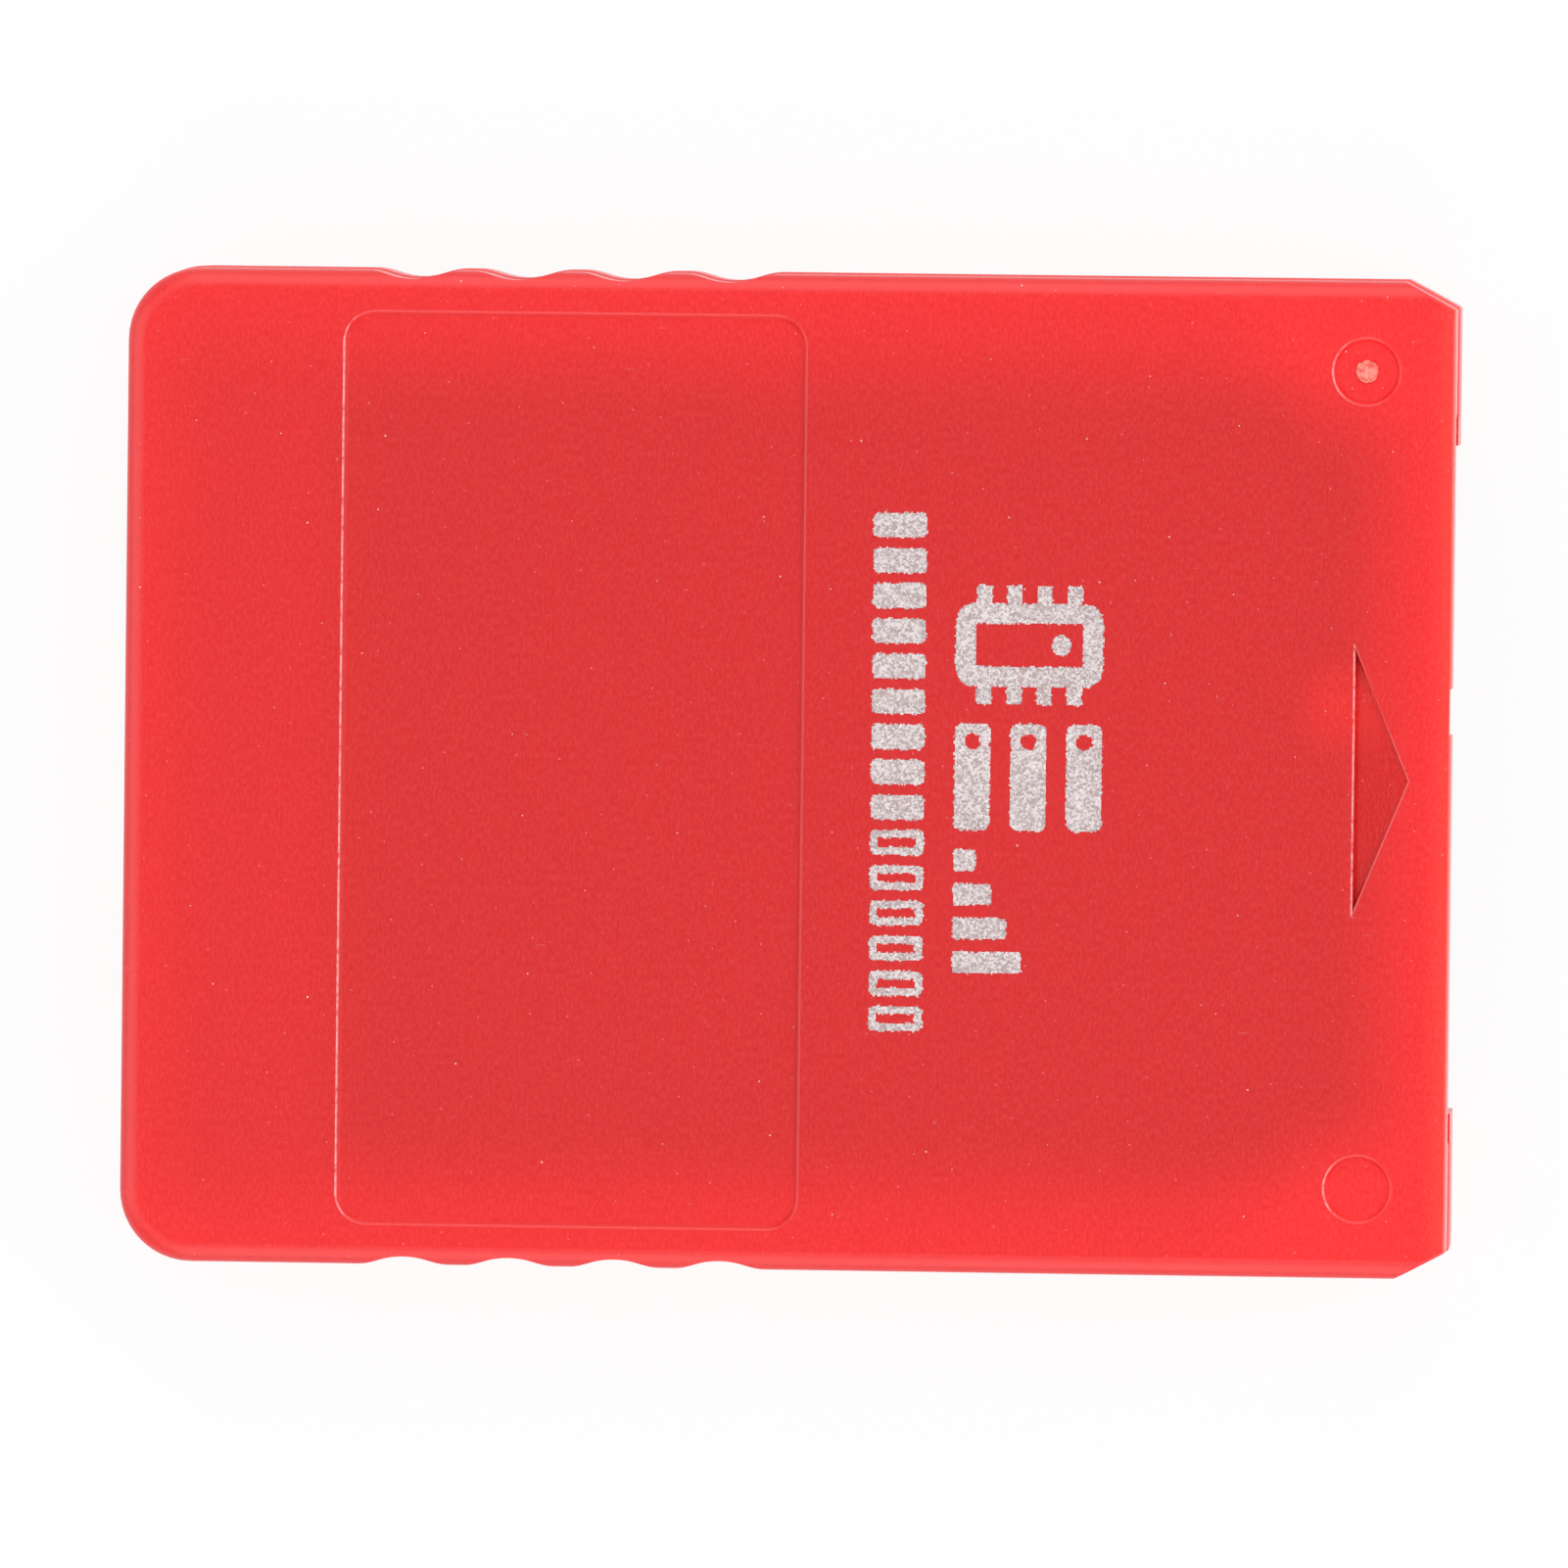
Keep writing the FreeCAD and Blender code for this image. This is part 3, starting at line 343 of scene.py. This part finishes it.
def field_distance(tree, place, sides, radius=0.0):
    """Distance to the edge of a rounded rectangle in plan."""
    return place_field(tree, place, sides, radius=radius * MM)["Distance"]


def add_fields(tree, place, colour, fields):
    """Lay soft fields of colour over a colour. A field is (sides, softness in millimetres, colour)."""
    for sides, softness, tint in fields:
        soft = softness * MM
        mask = place_field(tree, place, sides, radius=soft, softness=soft)["Mask"]
        colour = mix_colours(tree, mask, colour, tint)
    return colour


# Plastic of the shells
def paint_rim_highlights(tree, place, colour):
    """Paint broken highlights along the rims of the label recess, the dimples and the arrow's base."""
    rims = [(LABEL, LABEL_RADIUS), (ARROW_BASE, 0.0)]
    x, y = DIMPLE
    for side in (y, -y):
        around = (x - DIMPLE_RADIUS, x + DIMPLE_RADIUS, side - DIMPLE_RADIUS, side + DIMPLE_RADIUS)
        rims.append((around, DIMPLE_RADIUS))
    nearest = 1.0
    for sides, radius in rims:
        distance = calculate(tree, "ABSOLUTE", field_distance(tree, place, sides, radius))
        nearest = calculate(tree, "MINIMUM", distance, nearest)
    mask = place_group(tree, rim_highlight, place=place, distance=nearest)["Mask"]
    return mix_colours(tree, times(tree, mask, RIM_HIGHLIGHT_WEIGHT), colour, FROST_AND_HIGHLIGHT_PINK)


def arrow_masks(tree, place):
    """Masks of the arrow's sloping floor and of the bevels along its point."""
    near = calculate(tree, "LESS_THAN", field_distance(tree, place, ARROW), 0.0)
    facing = facing_of(tree)["X"]
    sloping = times(tree, near, calculate(tree, "LESS_THAN", facing, -0.06))
    steep = calculate(tree, "LESS_THAN", facing, -0.3)
    floor = times(tree, sloping, calculate(tree, "SUBTRACT", 1.0, steep))
    bevel = times(tree, times(tree, near, steep), calculate(tree, "GREATER_THAN", facing, -0.8))
    return floor, bevel


def paint_arrow(tree, place, colour, roughness):
    """Paint shade on the arrow's floor and polish it, and paint highlights on the bevels along its point."""
    floor, bevel = arrow_masks(tree, place)
    colour = mix_colours(tree, times(tree, floor, ARROW_SHADE_WEIGHT), colour, ARROW_SHADE_RED)
    colour = mix_colours(tree, times(tree, bevel, BEVEL_HIGHLIGHT_WEIGHT), colour, FROST_AND_HIGHLIGHT_PINK)
    return colour, times(tree, roughness, fade(tree, floor, 0.0, 1.0, 1.0, ARROW_POLISH))


def paint_edge_highlights(tree, place, facing, colour):
    """Paint highlights on the end of the nose and along the line where the shells meet."""
    axes = axes_of(tree, place)
    at_nose = calculate(tree, "GREATER_THAN", axes["X"], (NOSE - NOSE_DEPTH) * MM)
    nose = times(tree, fade(tree, facing["X"], 0.25, 0.6, 0.0, NOSE_HIGHLIGHT_WEIGHT), at_nose)
    from_parting = calculate(tree, "ABSOLUTE", calculate(tree, "SUBTRACT", axes["Z"], PARTING * MM))
    parting = fade(tree, from_parting, PARTING_REACH * MM, PARTING_CORE * MM, 0.0, PARTING_HIGHLIGHT_WEIGHT)
    return mix_colours(tree, calculate(tree, "MAXIMUM", nose, parting), colour, FROST_AND_HIGHLIGHT_PINK)


def add_dust(tree, place, colour):
    """Specks, fine dust and lint."""
    marks = 0.0
    for turn, stretch, size, share, weight in DUST_KINDS:
        mask = place_group(tree, specks, place=place, turn=(0, 0, turn), stretch=stretch, size=size,
                           share=share)["Mask"]
        marks = calculate(tree, "MAXIMUM", times(tree, mask, weight), marks)
    return mix_colours(tree, marks, colour, DUST_WHITE)


def shell_plastic(name, fields, glows=(), face=False):
    """Frosted red plastic, with painted shade where things lie behind it and painted light where light gets
    in. The face has painted shade on its arrow and painted highlights on its rims too.
    """
    material, tree, shader = new_material(name, IOR=PLASTIC_IOR)
    place = object_place(tree)
    drawn = calculate_vector(tree, "MULTIPLY", place, GRAIN_DRAW)
    grain = place_grain(tree, drawn, SHELL_GRAIN, 0.2)
    facing = facing_of(tree)
    level = fade(tree, calculate(tree, "ABSOLUTE", facing["Z"]), 0.12, 0.45)
    roughness = fade(tree, grain["Height"], 0.3, 0.7, 0.34, 0.44)
    roughness = times(tree, roughness, fade(tree, level, 0.0, 1.0, WALL_POLISH, 1.0))
    # Painted shade where the hollow, board and chips lie behind the plate
    colour = add_fields(tree, place, RIM_RED, fields)
    if face:
        # Painted shade on the arrow's floor and painted highlights on its bevels
        colour, roughness = paint_arrow(tree, place, colour, roughness)
    # Painted light at the keyway and the nose, on the face only
    colour = add_fields(tree, place, colour, glows)
    colour = scale_colour(tree, colour, grain["Tone"])
    # Painted highlights on the nose end and along the parting line
    colour = paint_edge_highlights(tree, place, facing, colour)
    frost = fade(tree, grain["Height"], 0.4, 0.75, 0.0, FROST_WEIGHT)
    colour = mix_colours(tree, frost, colour, FROST_AND_HIGHLIGHT_PINK)
    colour = add_dust(tree, place, colour)
    if face:
        # Painted broken highlights along the rims of the recess, the dimples and the arrow's base
        colour = paint_rim_highlights(tree, place, colour)
    tree.links.new(colour, shader.inputs["Base Color"])
    tree.links.new(roughness, shader.inputs["Roughness"])
    bump(tree, shader, times(tree, grain["Height"], level), 0.35, 0.02)
    return material


def front_shade_fields():
    """Painted shade of what lies behind the face plate."""
    hollow = (CAVITY_REAR - 1, CROSS_WALL, -CAVITY_SIDE, CAVITY_SIDE)
    board = (BOARD_REAR, TONGUE_ROOT, -BOARD_SIDE, BOARD_SIDE)
    tongue = (TONGUE_ROOT - 7, BOARD_NOSE - 0.4, -TONGUE_SIDE, TONGUE_SIDE)
    return [(hollow, 4.0, HOLLOW_SHADE_RED), (board, 2.3, BOARD_SHADE_RED), (tongue, 2.7, BOARD_SHADE_RED)]


def front_glows():
    """Light let in by the keyway of the mouth and along the nose."""
    keyway = (TONGUE_ROOT + 0.4, BOARD_NOSE - 0.2, KEY_MIDDLE - KEY_HALF, KEY_MIDDLE + KEY_HALF)
    nose = (NOSE - NOSE_DEPTH, NOSE + 2, -2 * CAVITY_SIDE, 2 * CAVITY_SIDE)
    return [(keyway, 1.2, KEYWAY_LIGHT_RED), (nose, 0.8, NOSE_LIGHT_RED)]


def back_shade_fields():
    """Painted shade of what lies behind the back plate, further behind it and so softer."""
    hollow = (CAVITY_REAR, CROSS_WALL, -CAVITY_SIDE, CAVITY_SIDE)
    board = (BOARD_REAR, CROSS_WALL, -BOARD_SIDE, BOARD_SIDE)
    fields = [(hollow, 3.0, HOLLOW_SHADE_RED), (board, 2.6, BOARD_SHADE_RED)]
    for chip in ("memory_chip", "controller_chip"):
        low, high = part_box(chip)
        outline = (low.x / MM, high.x / MM, low.y / MM, high.y / MM)
        fields.append((outline, 1.6, CHIP_SHADE_RED))
    return fields


# Stub of the moulding gate
def gate_plastic():
    """Torn plastic, paler where it is drawn out."""
    material, tree, shader = new_material(
        "gate_plastic", IOR=PLASTIC_IOR, Subsurface_Weight=0.4, Subsurface_Scale=0.0003,
        Subsurface_Radius=(1.0, 0.3, 0.3))
    shader.subsurface_method = "BURLEY"
    tear = place_grain(tree, object_place(tree), 0.18, 0.3)
    colour = mix_colours(tree, fade(tree, tear["Height"], 0.35, 0.65), GATE_RED, GATE_PINK)
    tree.links.new(scale_colour(tree, colour, tear["Tone"]), shader.inputs["Base Color"])
    tree.links.new(fade(tree, tear["Height"], 0.3, 0.7, 0.55, 0.35), shader.inputs["Roughness"])
    bump(tree, shader, tear["Height"], 0.5, 0.04)
    return material


def add_gate_stub():
    """Stub left by the moulding gate in one dimple: a flat lump with a torn top."""
    x, y = DIMPLE
    bpy.ops.object.select_all(action="DESELECT")
    bpy.ops.mesh.primitive_uv_sphere_add(segments=56, ring_count=28, radius=GATE_RADIUS * MM)
    stub = bpy.context.active_object
    stub.name = "gate_stub"
    stub.scale = GATE_SHAPE
    stub.location = (x * MM, y * MM, GATE_HEIGHT * MM)
    bpy.ops.object.transform_apply(location=True, rotation=True, scale=True)
    tear = bpy.data.textures.new("gate_tear", "CLOUDS")
    tear.noise_scale = TEAR_SIZE * MM
    tear.noise_depth = 3
    torn = stub.modifiers.new("torn", "DISPLACE")
    torn.texture = tear
    torn.texture_coords = "LOCAL"
    torn.strength = TEAR_DEPTH * MM
    torn.mid_level = 0.55
    bpy.ops.object.modifier_apply(modifier=torn.name)
    bpy.ops.object.shade_smooth()
    stub.data.materials.append(gate_plastic())
    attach(stub, "root")


# Board and what it carries
def board_laminate():
    """Green lacquer over glass fibre, with pale sawn edges and faint tracks."""
    material, tree, shader = new_material("board_laminate", Coat_Roughness=0.2, IOR=1.5)
    place = object_place(tree)
    tracks = add_node(tree, "ShaderNodeTexBrick", {
        "Vector": place, "Scale": 420.0, "Mortar Size": 0.05, "Mortar Smooth": 0.4,
        "Color1": LACQUER_GREEN, "Color2": LACQUER_PALE, "Mortar": TRACK_GREEN}).outputs
    fibre = place_grain(tree, place, 0.4, 0.3)
    edge = calculate(tree, "LESS_THAN", calculate(tree, "ABSOLUTE", facing_of(tree)["Z"]), 0.4)
    colour = mix_colours(tree, edge, tracks["Color"], SAWN_FIBRE)
    tree.links.new(scale_colour(tree, colour, fibre["Tone"]), shader.inputs["Base Color"])
    tree.links.new(fade(tree, edge, 0.0, 1.0, 0.28, 0.75), shader.inputs["Roughness"])
    tree.links.new(fade(tree, edge, 0.0, 1.0, 0.4, 0.0), shader.inputs["Coat Weight"])
    bump(tree, shader, calculate(tree, "ADD", tracks["Fac"], fibre["Height"]), 0.2, 0.02)
    return material


def contact_gold():
    """Hard gold plate, wiped along the card by the console's springs."""
    material, tree, shader = new_material("contact_gold", Metallic=1.0)
    place = object_place(tree)
    grain = place_grain(tree, place, 0.12, 0.12)
    streaks = calculate_vector(tree, "MULTIPLY", place, (120, 5200, 1))
    wiped = add_node(tree, "ShaderNodeTexNoise", {"Vector": streaks, "Scale": 1.0, "Detail": 4.0}).outputs[0]
    colour = mix_colours(tree, fade(tree, wiped, 0.52, 0.68), GOLD, GOLD_WIPED)
    tree.links.new(scale_colour(tree, colour, grain["Tone"]), shader.inputs["Base Color"])
    tree.links.new(fade(tree, wiped, 0.35, 0.7, 0.22, 0.42), shader.inputs["Roughness"])
    bump(tree, shader, wiped, 0.2, 0.01)
    return material


def chip_resin():
    """Black moulded epoxy with a fine matt grain."""
    material, tree, shader = new_material("chip_resin", IOR=1.55)
    grain = place_grain(tree, object_place(tree), 0.16, 0.5)
    tree.links.new(scale_colour(tree, RESIN_BLACK, grain["Tone"]), shader.inputs["Base Color"])
    tree.links.new(fade(tree, grain["Height"], 0.3, 0.7, 0.5, 0.68), shader.inputs["Roughness"])
    bump(tree, shader, grain["Height"], 0.4, 0.02)
    return material


def bright_metal(name, pale, dull, roughness):
    """Tinned or nickel surface with soft clouding."""
    material, tree, shader = new_material(name, Metallic=1.0)
    clouds = place_grain(tree, object_place(tree), 0.5, 0.1)
    colour = mix_colours(tree, fade(tree, clouds["Height"], 0.35, 0.65), pale, dull)
    tree.links.new(scale_colour(tree, colour, clouds["Tone"]), shader.inputs["Base Color"])
    tree.links.new(fade(tree, clouds["Height"], 0.3, 0.7, roughness - 0.06, roughness + 0.08),
                   shader.inputs["Roughness"])
    bump(tree, shader, clouds["Height"], 0.1, 0.02)
    return material


def capped_ceramic(node, body_colour):
    """Small ceramic block with tinned ends along its longer side."""
    material, tree, shader = new_material(f"{node}_ceramic")
    low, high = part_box(node)
    span = high - low
    axis = "X" if span.x > span.y else "Y"
    half = max(span.x, span.y) / 2
    place = object_place(tree)
    along = axes_of(tree, calculate_vector(tree, "SUBTRACT", place, (low + high) / 2))[axis]
    ends = calculate(tree, "GREATER_THAN", calculate(tree, "ABSOLUTE", along), half - END_CAP * MM)
    grain = place_grain(tree, place, 0.1, 0.3)
    colour = mix_colours(tree, ends, body_colour, END_CAP_TIN)
    tree.links.new(scale_colour(tree, colour, grain["Tone"]), shader.inputs["Base Color"])
    tree.links.new(ends, shader.inputs["Metallic"])
    tree.links.new(fade(tree, ends, 0.0, 1.0, 0.5, 0.35), shader.inputs["Roughness"])
    bump(tree, shader, grain["Height"], 0.2, 0.01)
    return material


def dress(node, material):
    """Give a node of the frame its finish."""
    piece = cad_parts[node]
    if not piece.material_slots:
        piece.data.materials.append(material)
    for slot in piece.material_slots:
        slot.material = material


def dress_nodes():
    dress("front_shell", shell_plastic("front_shell_plastic", front_shade_fields(), front_glows(), face=True))
    dress("rear_shell", shell_plastic("rear_shell_plastic", back_shade_fields()))
    gold = contact_gold()
    resin = chip_resin()
    tin = bright_metal("lead_tin", TIN, TIN_DULL, 0.34)
    can = bright_metal("crystal_can", NICKEL, NICKEL_DULL, 0.24)
    dress("circuit_board", board_laminate())
    dress("clock_crystal", can)
    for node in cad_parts:
        if node.startswith("contact_"):
            dress(node, gold)
        elif node in ("memory_chip", "controller_chip", "voltage_regulator"):
            dress(node, resin)
        elif node.endswith("_leads"):
            dress(node, tin)
        elif node.startswith("capacitor_"):
            dress(node, capped_ceramic(node, CAPACITOR_BROWN))
        elif node.startswith("resistor_"):
            dress(node, capped_ceramic(node, RESISTOR_BLACK))


# Silver print on the face. It reads along -Y with its top to +X, so a mark is drawn as
# (along, up) in millimetres: along is -Y, up is X.
INK_CELL = 0.06
INK_THICKNESS = 0.012
INK_SINK = 0.003
INK_RAGGED = 0.055
INK_RAGGED_SIZE = 1.7 * INK_CELL
INK_SHIFT = 0.45 * INK_CELL
INK_SEED = 5

# Chip, banks and steps, side by side on one foot line
FOOT = 7.1
CHIP_MIDDLE = -5.5
CHIP_HALF = 1.75
CHIP_TOP = 13.3
CHIP_RADIUS = 0.8
CHIP_STROKE = 0.85
DOT_UP = 11.55
DOT_RADIUS = 0.42
LEG_SPAN = (1.6, 2.5)
LEG_PLACES = (8.3, 9.57, 10.83, 12.1)
LEG_HALF = 0.32
LEG_RADIUS = 0.08
BANK_SPAN = (-2.2, 2.3)
BANK_PLACES = (FOOT, 9.45, 11.8)
BANK_HEIGHT = 1.5
BANK_RADIUS = 0.35
WINDOW_ALONG = -1.45
WINDOW_RADIUS = 0.34
STEP_SPAN = (3.1, 4.0)
STEP_COUNT = 4
STEP_PITCH = 1.43
STEP_TOP = 8.05
STEP_RISE = 0.65
STEP_RADIUS = 0.12

# Row of blocks under them
BLOCK_COUNT = 15
BLOCKS_FILLED = 9
BLOCK_START = -11.0
BLOCK_PITCH = 1.48
BLOCK_WIDTH = 1.05
BLOCK_LOW = 3.6
BLOCK_HIGH = 5.86
BLOCK_RADIUS = 0.25
BLOCK_STROKE = 0.34

# Sheets that the marks are cut from, as (left, right, low, high). A block's left and right count
# from where the block starts.
CHIP_SHEET = (-8.1, -2.9, 7.0, 13.4)
BANK_SHEET = (-2.3, 2.4, 7.0, 13.4)
STEP_SHEET = (3.0, 8.4, 7.0, 10.1)
BLOCK_SHEET = (-0.1, 1.15, 3.5, 5.96)


def rounded_box(along, up, left, right, low, high, radius):
    """Distance to the edge of a rounded rectangle, negative inside it."""
    beyond_along = abs(along - (left + right) / 2) - (right - left) / 2 + radius
    beyond_up = abs(up - (low + high) / 2) - (high - low) / 2 + radius
    outside = math.hypot(max(beyond_along, 0), max(beyond_up, 0))
    return outside + min(max(beyond_along, beyond_up), 0) - radius


def frame_of(distance, stroke):
    """Only a band of that stroke along the inside of an edge."""
    return max(distance, -distance - stroke)


def chip_mark(along, up):
    """Chip with four legs a side and a dot at its first leg."""
    left = CHIP_MIDDLE - CHIP_HALF
    right = CHIP_MIDDLE + CHIP_HALF
    edge = rounded_box(along, up, left, right, FOOT, CHIP_TOP, CHIP_RADIUS)
    dot = math.hypot(along - CHIP_MIDDLE, up - DOT_UP) - DOT_RADIUS
    legs = min(
        rounded_box(abs(along - CHIP_MIDDLE), up, *LEG_SPAN, place - LEG_HALF, place + LEG_HALF, LEG_RADIUS)
        for place in LEG_PLACES)
    return min(frame_of(edge, CHIP_STROKE), dot, legs)


def bank_mark(along, up):
    """Three stacked banks, each with a round window."""
    banks = []
    for low in BANK_PLACES:
        bar = rounded_box(along, up, *BANK_SPAN, low, low + BANK_HEIGHT, BANK_RADIUS)
        window = math.hypot(along - WINDOW_ALONG, up - low - BANK_HEIGHT / 2) - WINDOW_RADIUS
        banks.append(max(bar, -window))
    return min(banks)


def step_mark(along, up):
    """Four bars that rise in steps."""
    left, right = STEP_SPAN
    bars = []
    for n in range(STEP_COUNT):
        shift = n * STEP_PITCH
        top = STEP_TOP + n * STEP_RISE
        bars.append(rounded_box(along, up, left + shift, right + shift, FOOT, top, STEP_RADIUS))
    return min(bars)


def block_mark(left, filled):
    """One block of the row under the marks, full or empty."""
    def shape(along, up):
        edge = rounded_box(along, up, left, left + BLOCK_WIDTH, BLOCK_LOW, BLOCK_HIGH, BLOCK_RADIUS)
        return edge if filled else frame_of(edge, BLOCK_STROKE)
    return shape


def silver_ink():
    """Silver screen ink, grainy with bright flakes."""
    flakes_to_a_metre = 11000.0
    material, tree, shader = new_material("silver_ink", IOR=1.45, Metallic=0.25)
    place = object_place(tree)
    grain = place_grain(tree, place, 0.07, 0.8)
    flakes = add_node(tree, "ShaderNodeTexVoronoi", {"Vector": place, "Scale": flakes_to_a_metre})
    draw = add_node(tree, "ShaderNodeSeparateColor", {0: flakes.outputs["Color"]}).outputs["Red"]
    spark = fade(tree, draw, 0.1, 0.95)
    colour = mix_colours(tree, spark, SILVER_DULL, SILVER_BRIGHT)
    tree.links.new(scale_colour(tree, colour, grain["Tone"]), shader.inputs["Base Color"])
    tree.links.new(fade(tree, spark, 0.0, 1.0, 0.6, 0.35), shader.inputs["Roughness"])
    bump(tree, shader, calculate(tree, "ADD", grain["Height"], spark), 0.5, 0.02)
    return material


def print_mark(name, shape, sheet, material):
    """Film of ink with the ragged edge of a screen print, cut from a sheet."""
    left, right, low, high = sheet
    width = high - low
    length = right - left
    under = (FACE - INK_SINK) * MM
    bpy.ops.object.select_all(action="DESELECT")
    bpy.ops.mesh.primitive_grid_add(
        x_subdivisions=round(width / INK_CELL), y_subdivisions=round(length / INK_CELL), size=1)
    piece = bpy.context.active_object
    piece.name = name
    piece.scale = (width * MM, length * MM, 1)
    piece.location = ((low + high) / 2 * MM, -(left + right) / 2 * MM, under)
    bpy.ops.object.transform_apply(location=True, rotation=True, scale=True)
    bpy.ops.object.mode_set(mode="EDIT")
    bpy.ops.mesh.select_mode(type="FACE")
    bpy.ops.mesh.select_all(action="DESELECT")
    mesh = bmesh.from_edit_mesh(piece.data)
    for face in mesh.faces:
        place = face.calc_center_median() / MM
        ragged = noise.noise(place / INK_RAGGED_SIZE) * INK_RAGGED
        if shape(-place.y, place.x) + ragged > 0:
            face.select = True
    bmesh.update_edit_mesh(piece.data)
    bpy.ops.mesh.delete(type="FACE")
    bpy.ops.mesh.select_all(action="SELECT")
    bpy.ops.transform.vertex_random(offset=INK_SHIFT * MM, seed=INK_SEED)
    bpy.ops.transform.resize(value=(1, 1, 0), center_override=(0, 0, under))
    bpy.ops.object.mode_set(mode="OBJECT")
    film = piece.modifiers.new("film", "SOLIDIFY")
    film.thickness = INK_THICKNESS * MM
    film.offset = 1
    bpy.ops.object.modifier_apply(modifier=film.name)
    piece.data.materials.append(material)
    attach(piece, "root")


def print_face():
    ink = silver_ink()
    print_mark("print_chip", chip_mark, CHIP_SHEET, ink)
    print_mark("print_banks", bank_mark, BANK_SHEET, ink)
    print_mark("print_steps", step_mark, STEP_SHEET, ink)
    near, far, low, high = BLOCK_SHEET
    for n in range(BLOCK_COUNT):
        left = BLOCK_START + n * BLOCK_PITCH
        sheet = (left + near, left + far, low, high)
        print_mark(f"print_block_{n + 1}", block_mark(left, n < BLOCKS_FILLED), sheet, ink)


# Stage, light and camera, in metres and watts
FLOOR_SIZE = 3.0
FLOOR_DROP = 0.02 * MM
FLOOR_GLOW = 0.9
TENT_FILL = 0.15
TENT_OPENING = 0.5
LAMP_SIZE = (0.42, 0.58)
LAMPS = {
    "right_window": ((0.39, 0.02, 0.31), 1.50),
    "upper_window": ((0.02, 0.39, 0.31), 1.30),
    "lower_window": ((0.02, -0.39, 0.31), 1.30),
    "left_window": ((-0.39, 0.0, 0.31), 1.10),
}


def make_floor():
    """White floor that keeps the card's shadow and looks white to the camera and in reflections."""
    bpy.ops.object.select_all(action="DESELECT")
    bpy.ops.mesh.primitive_plane_add(size=FLOOR_SIZE, location=(0, 0, -FLOOR_DROP))
    floor = bpy.context.active_object
    floor.name = "floor"
    material, tree, shader = new_material(
        "floor_white", Base_Color=(0.92, 0.92, 0.92, 1), Roughness=0.9, Specular_IOR_Level=0.1)
    glow = add_node(tree, "ShaderNodeEmission", {"Color": (1, 1, 1, 1), "Strength": 1.0})
    path = add_node(tree, "ShaderNodeLightPath").outputs
    seen = calculate(tree, "MAXIMUM", path["Is Camera Ray"], path["Is Glossy Ray"])
    share = times(tree, seen, FLOOR_GLOW)
    blend = add_node(tree, "ShaderNodeMixShader", {0: share, 1: shader.outputs[0], 2: glow.outputs[0]})
    tree.links.new(blend.outputs[0], tree.nodes["Material Output"].inputs["Surface"])
    floor.data.materials.append(material)


def make_world():
    """White tent: plain light from all round, white where it is seen, and a dimmer opening at the top."""
    world = bpy.data.worlds.new("tent")
    bpy.context.scene.world = world
    world.use_nodes = True
    tree = world.node_tree
    tree.nodes.clear()
    path = add_node(tree, "ShaderNodeLightPath").outputs
    seen = calculate(tree, "MAXIMUM", path["Is Camera Ray"], path["Is Glossy Ray"])
    seen = calculate(tree, "MAXIMUM", seen, path["Is Transmission Ray"])
    strength = add_node(tree, "ShaderNodeMix", {0: seen, 2: TENT_FILL, 3: 1.0}).outputs[0]
    height = axes_of(tree, add_node(tree, "ShaderNodeTexCoord").outputs["Generated"])["Z"]
    opening = fade(tree, height, 0.78, 0.97, 1.0, TENT_OPENING)
    tent = add_node(tree, "ShaderNodeBackground", {
        "Color": (1, 1, 1, 1), "Strength": times(tree, strength, opening)})
    sink = add_node(tree, "ShaderNodeOutputWorld")
    tree.links.new(tent.outputs[0], sink.inputs["Surface"])


def add_lamp(name, place, power):
    """Rectangular lamp that faces the card."""
    data = bpy.data.lights.new(name, "AREA")
    data.shape = "RECTANGLE"
    data.size, data.size_y = LAMP_SIZE
    data.energy = power
    lamp = bpy.data.objects.new(name, data)
    lamp.location = place
    lamp.rotation_euler = (-Vector(place)).to_track_quat("-Z", "Y").to_euler()
    lamp.visible_camera = False
    bpy.context.scene.collection.objects.link(lamp)


def make_camera():
    """Camera almost straight above the card, as the photograph shows it."""
    distance = 0.8
    view_width = 0.06614
    turn = (math.radians(-1.85), math.radians(3.39), math.radians(0.762))
    aim = Vector((-0.000275, -0.000579, 0.003935))
    data = bpy.data.cameras.new("camera")
    data.sensor_width = 36
    data.lens = data.sensor_width * distance / view_width
    camera = bpy.data.objects.new("camera", data)
    camera.rotation_mode = "ZYX"
    camera.rotation_euler = turn
    bpy.context.scene.collection.objects.link(camera)
    bpy.context.view_layer.update()
    camera.location = aim + camera.matrix_world.to_3x3() @ Vector((0, 0, distance))
    bpy.context.scene.camera = camera


dress_nodes()
add_gate_stub()
print_face()
make_floor()
make_world()
for lamp_name, (lamp_place, lamp_power) in LAMPS.items():
    add_lamp(lamp_name, lamp_place, lamp_power)
make_camera()
bpy.context.scene.view_settings.view_transform = "Standard"
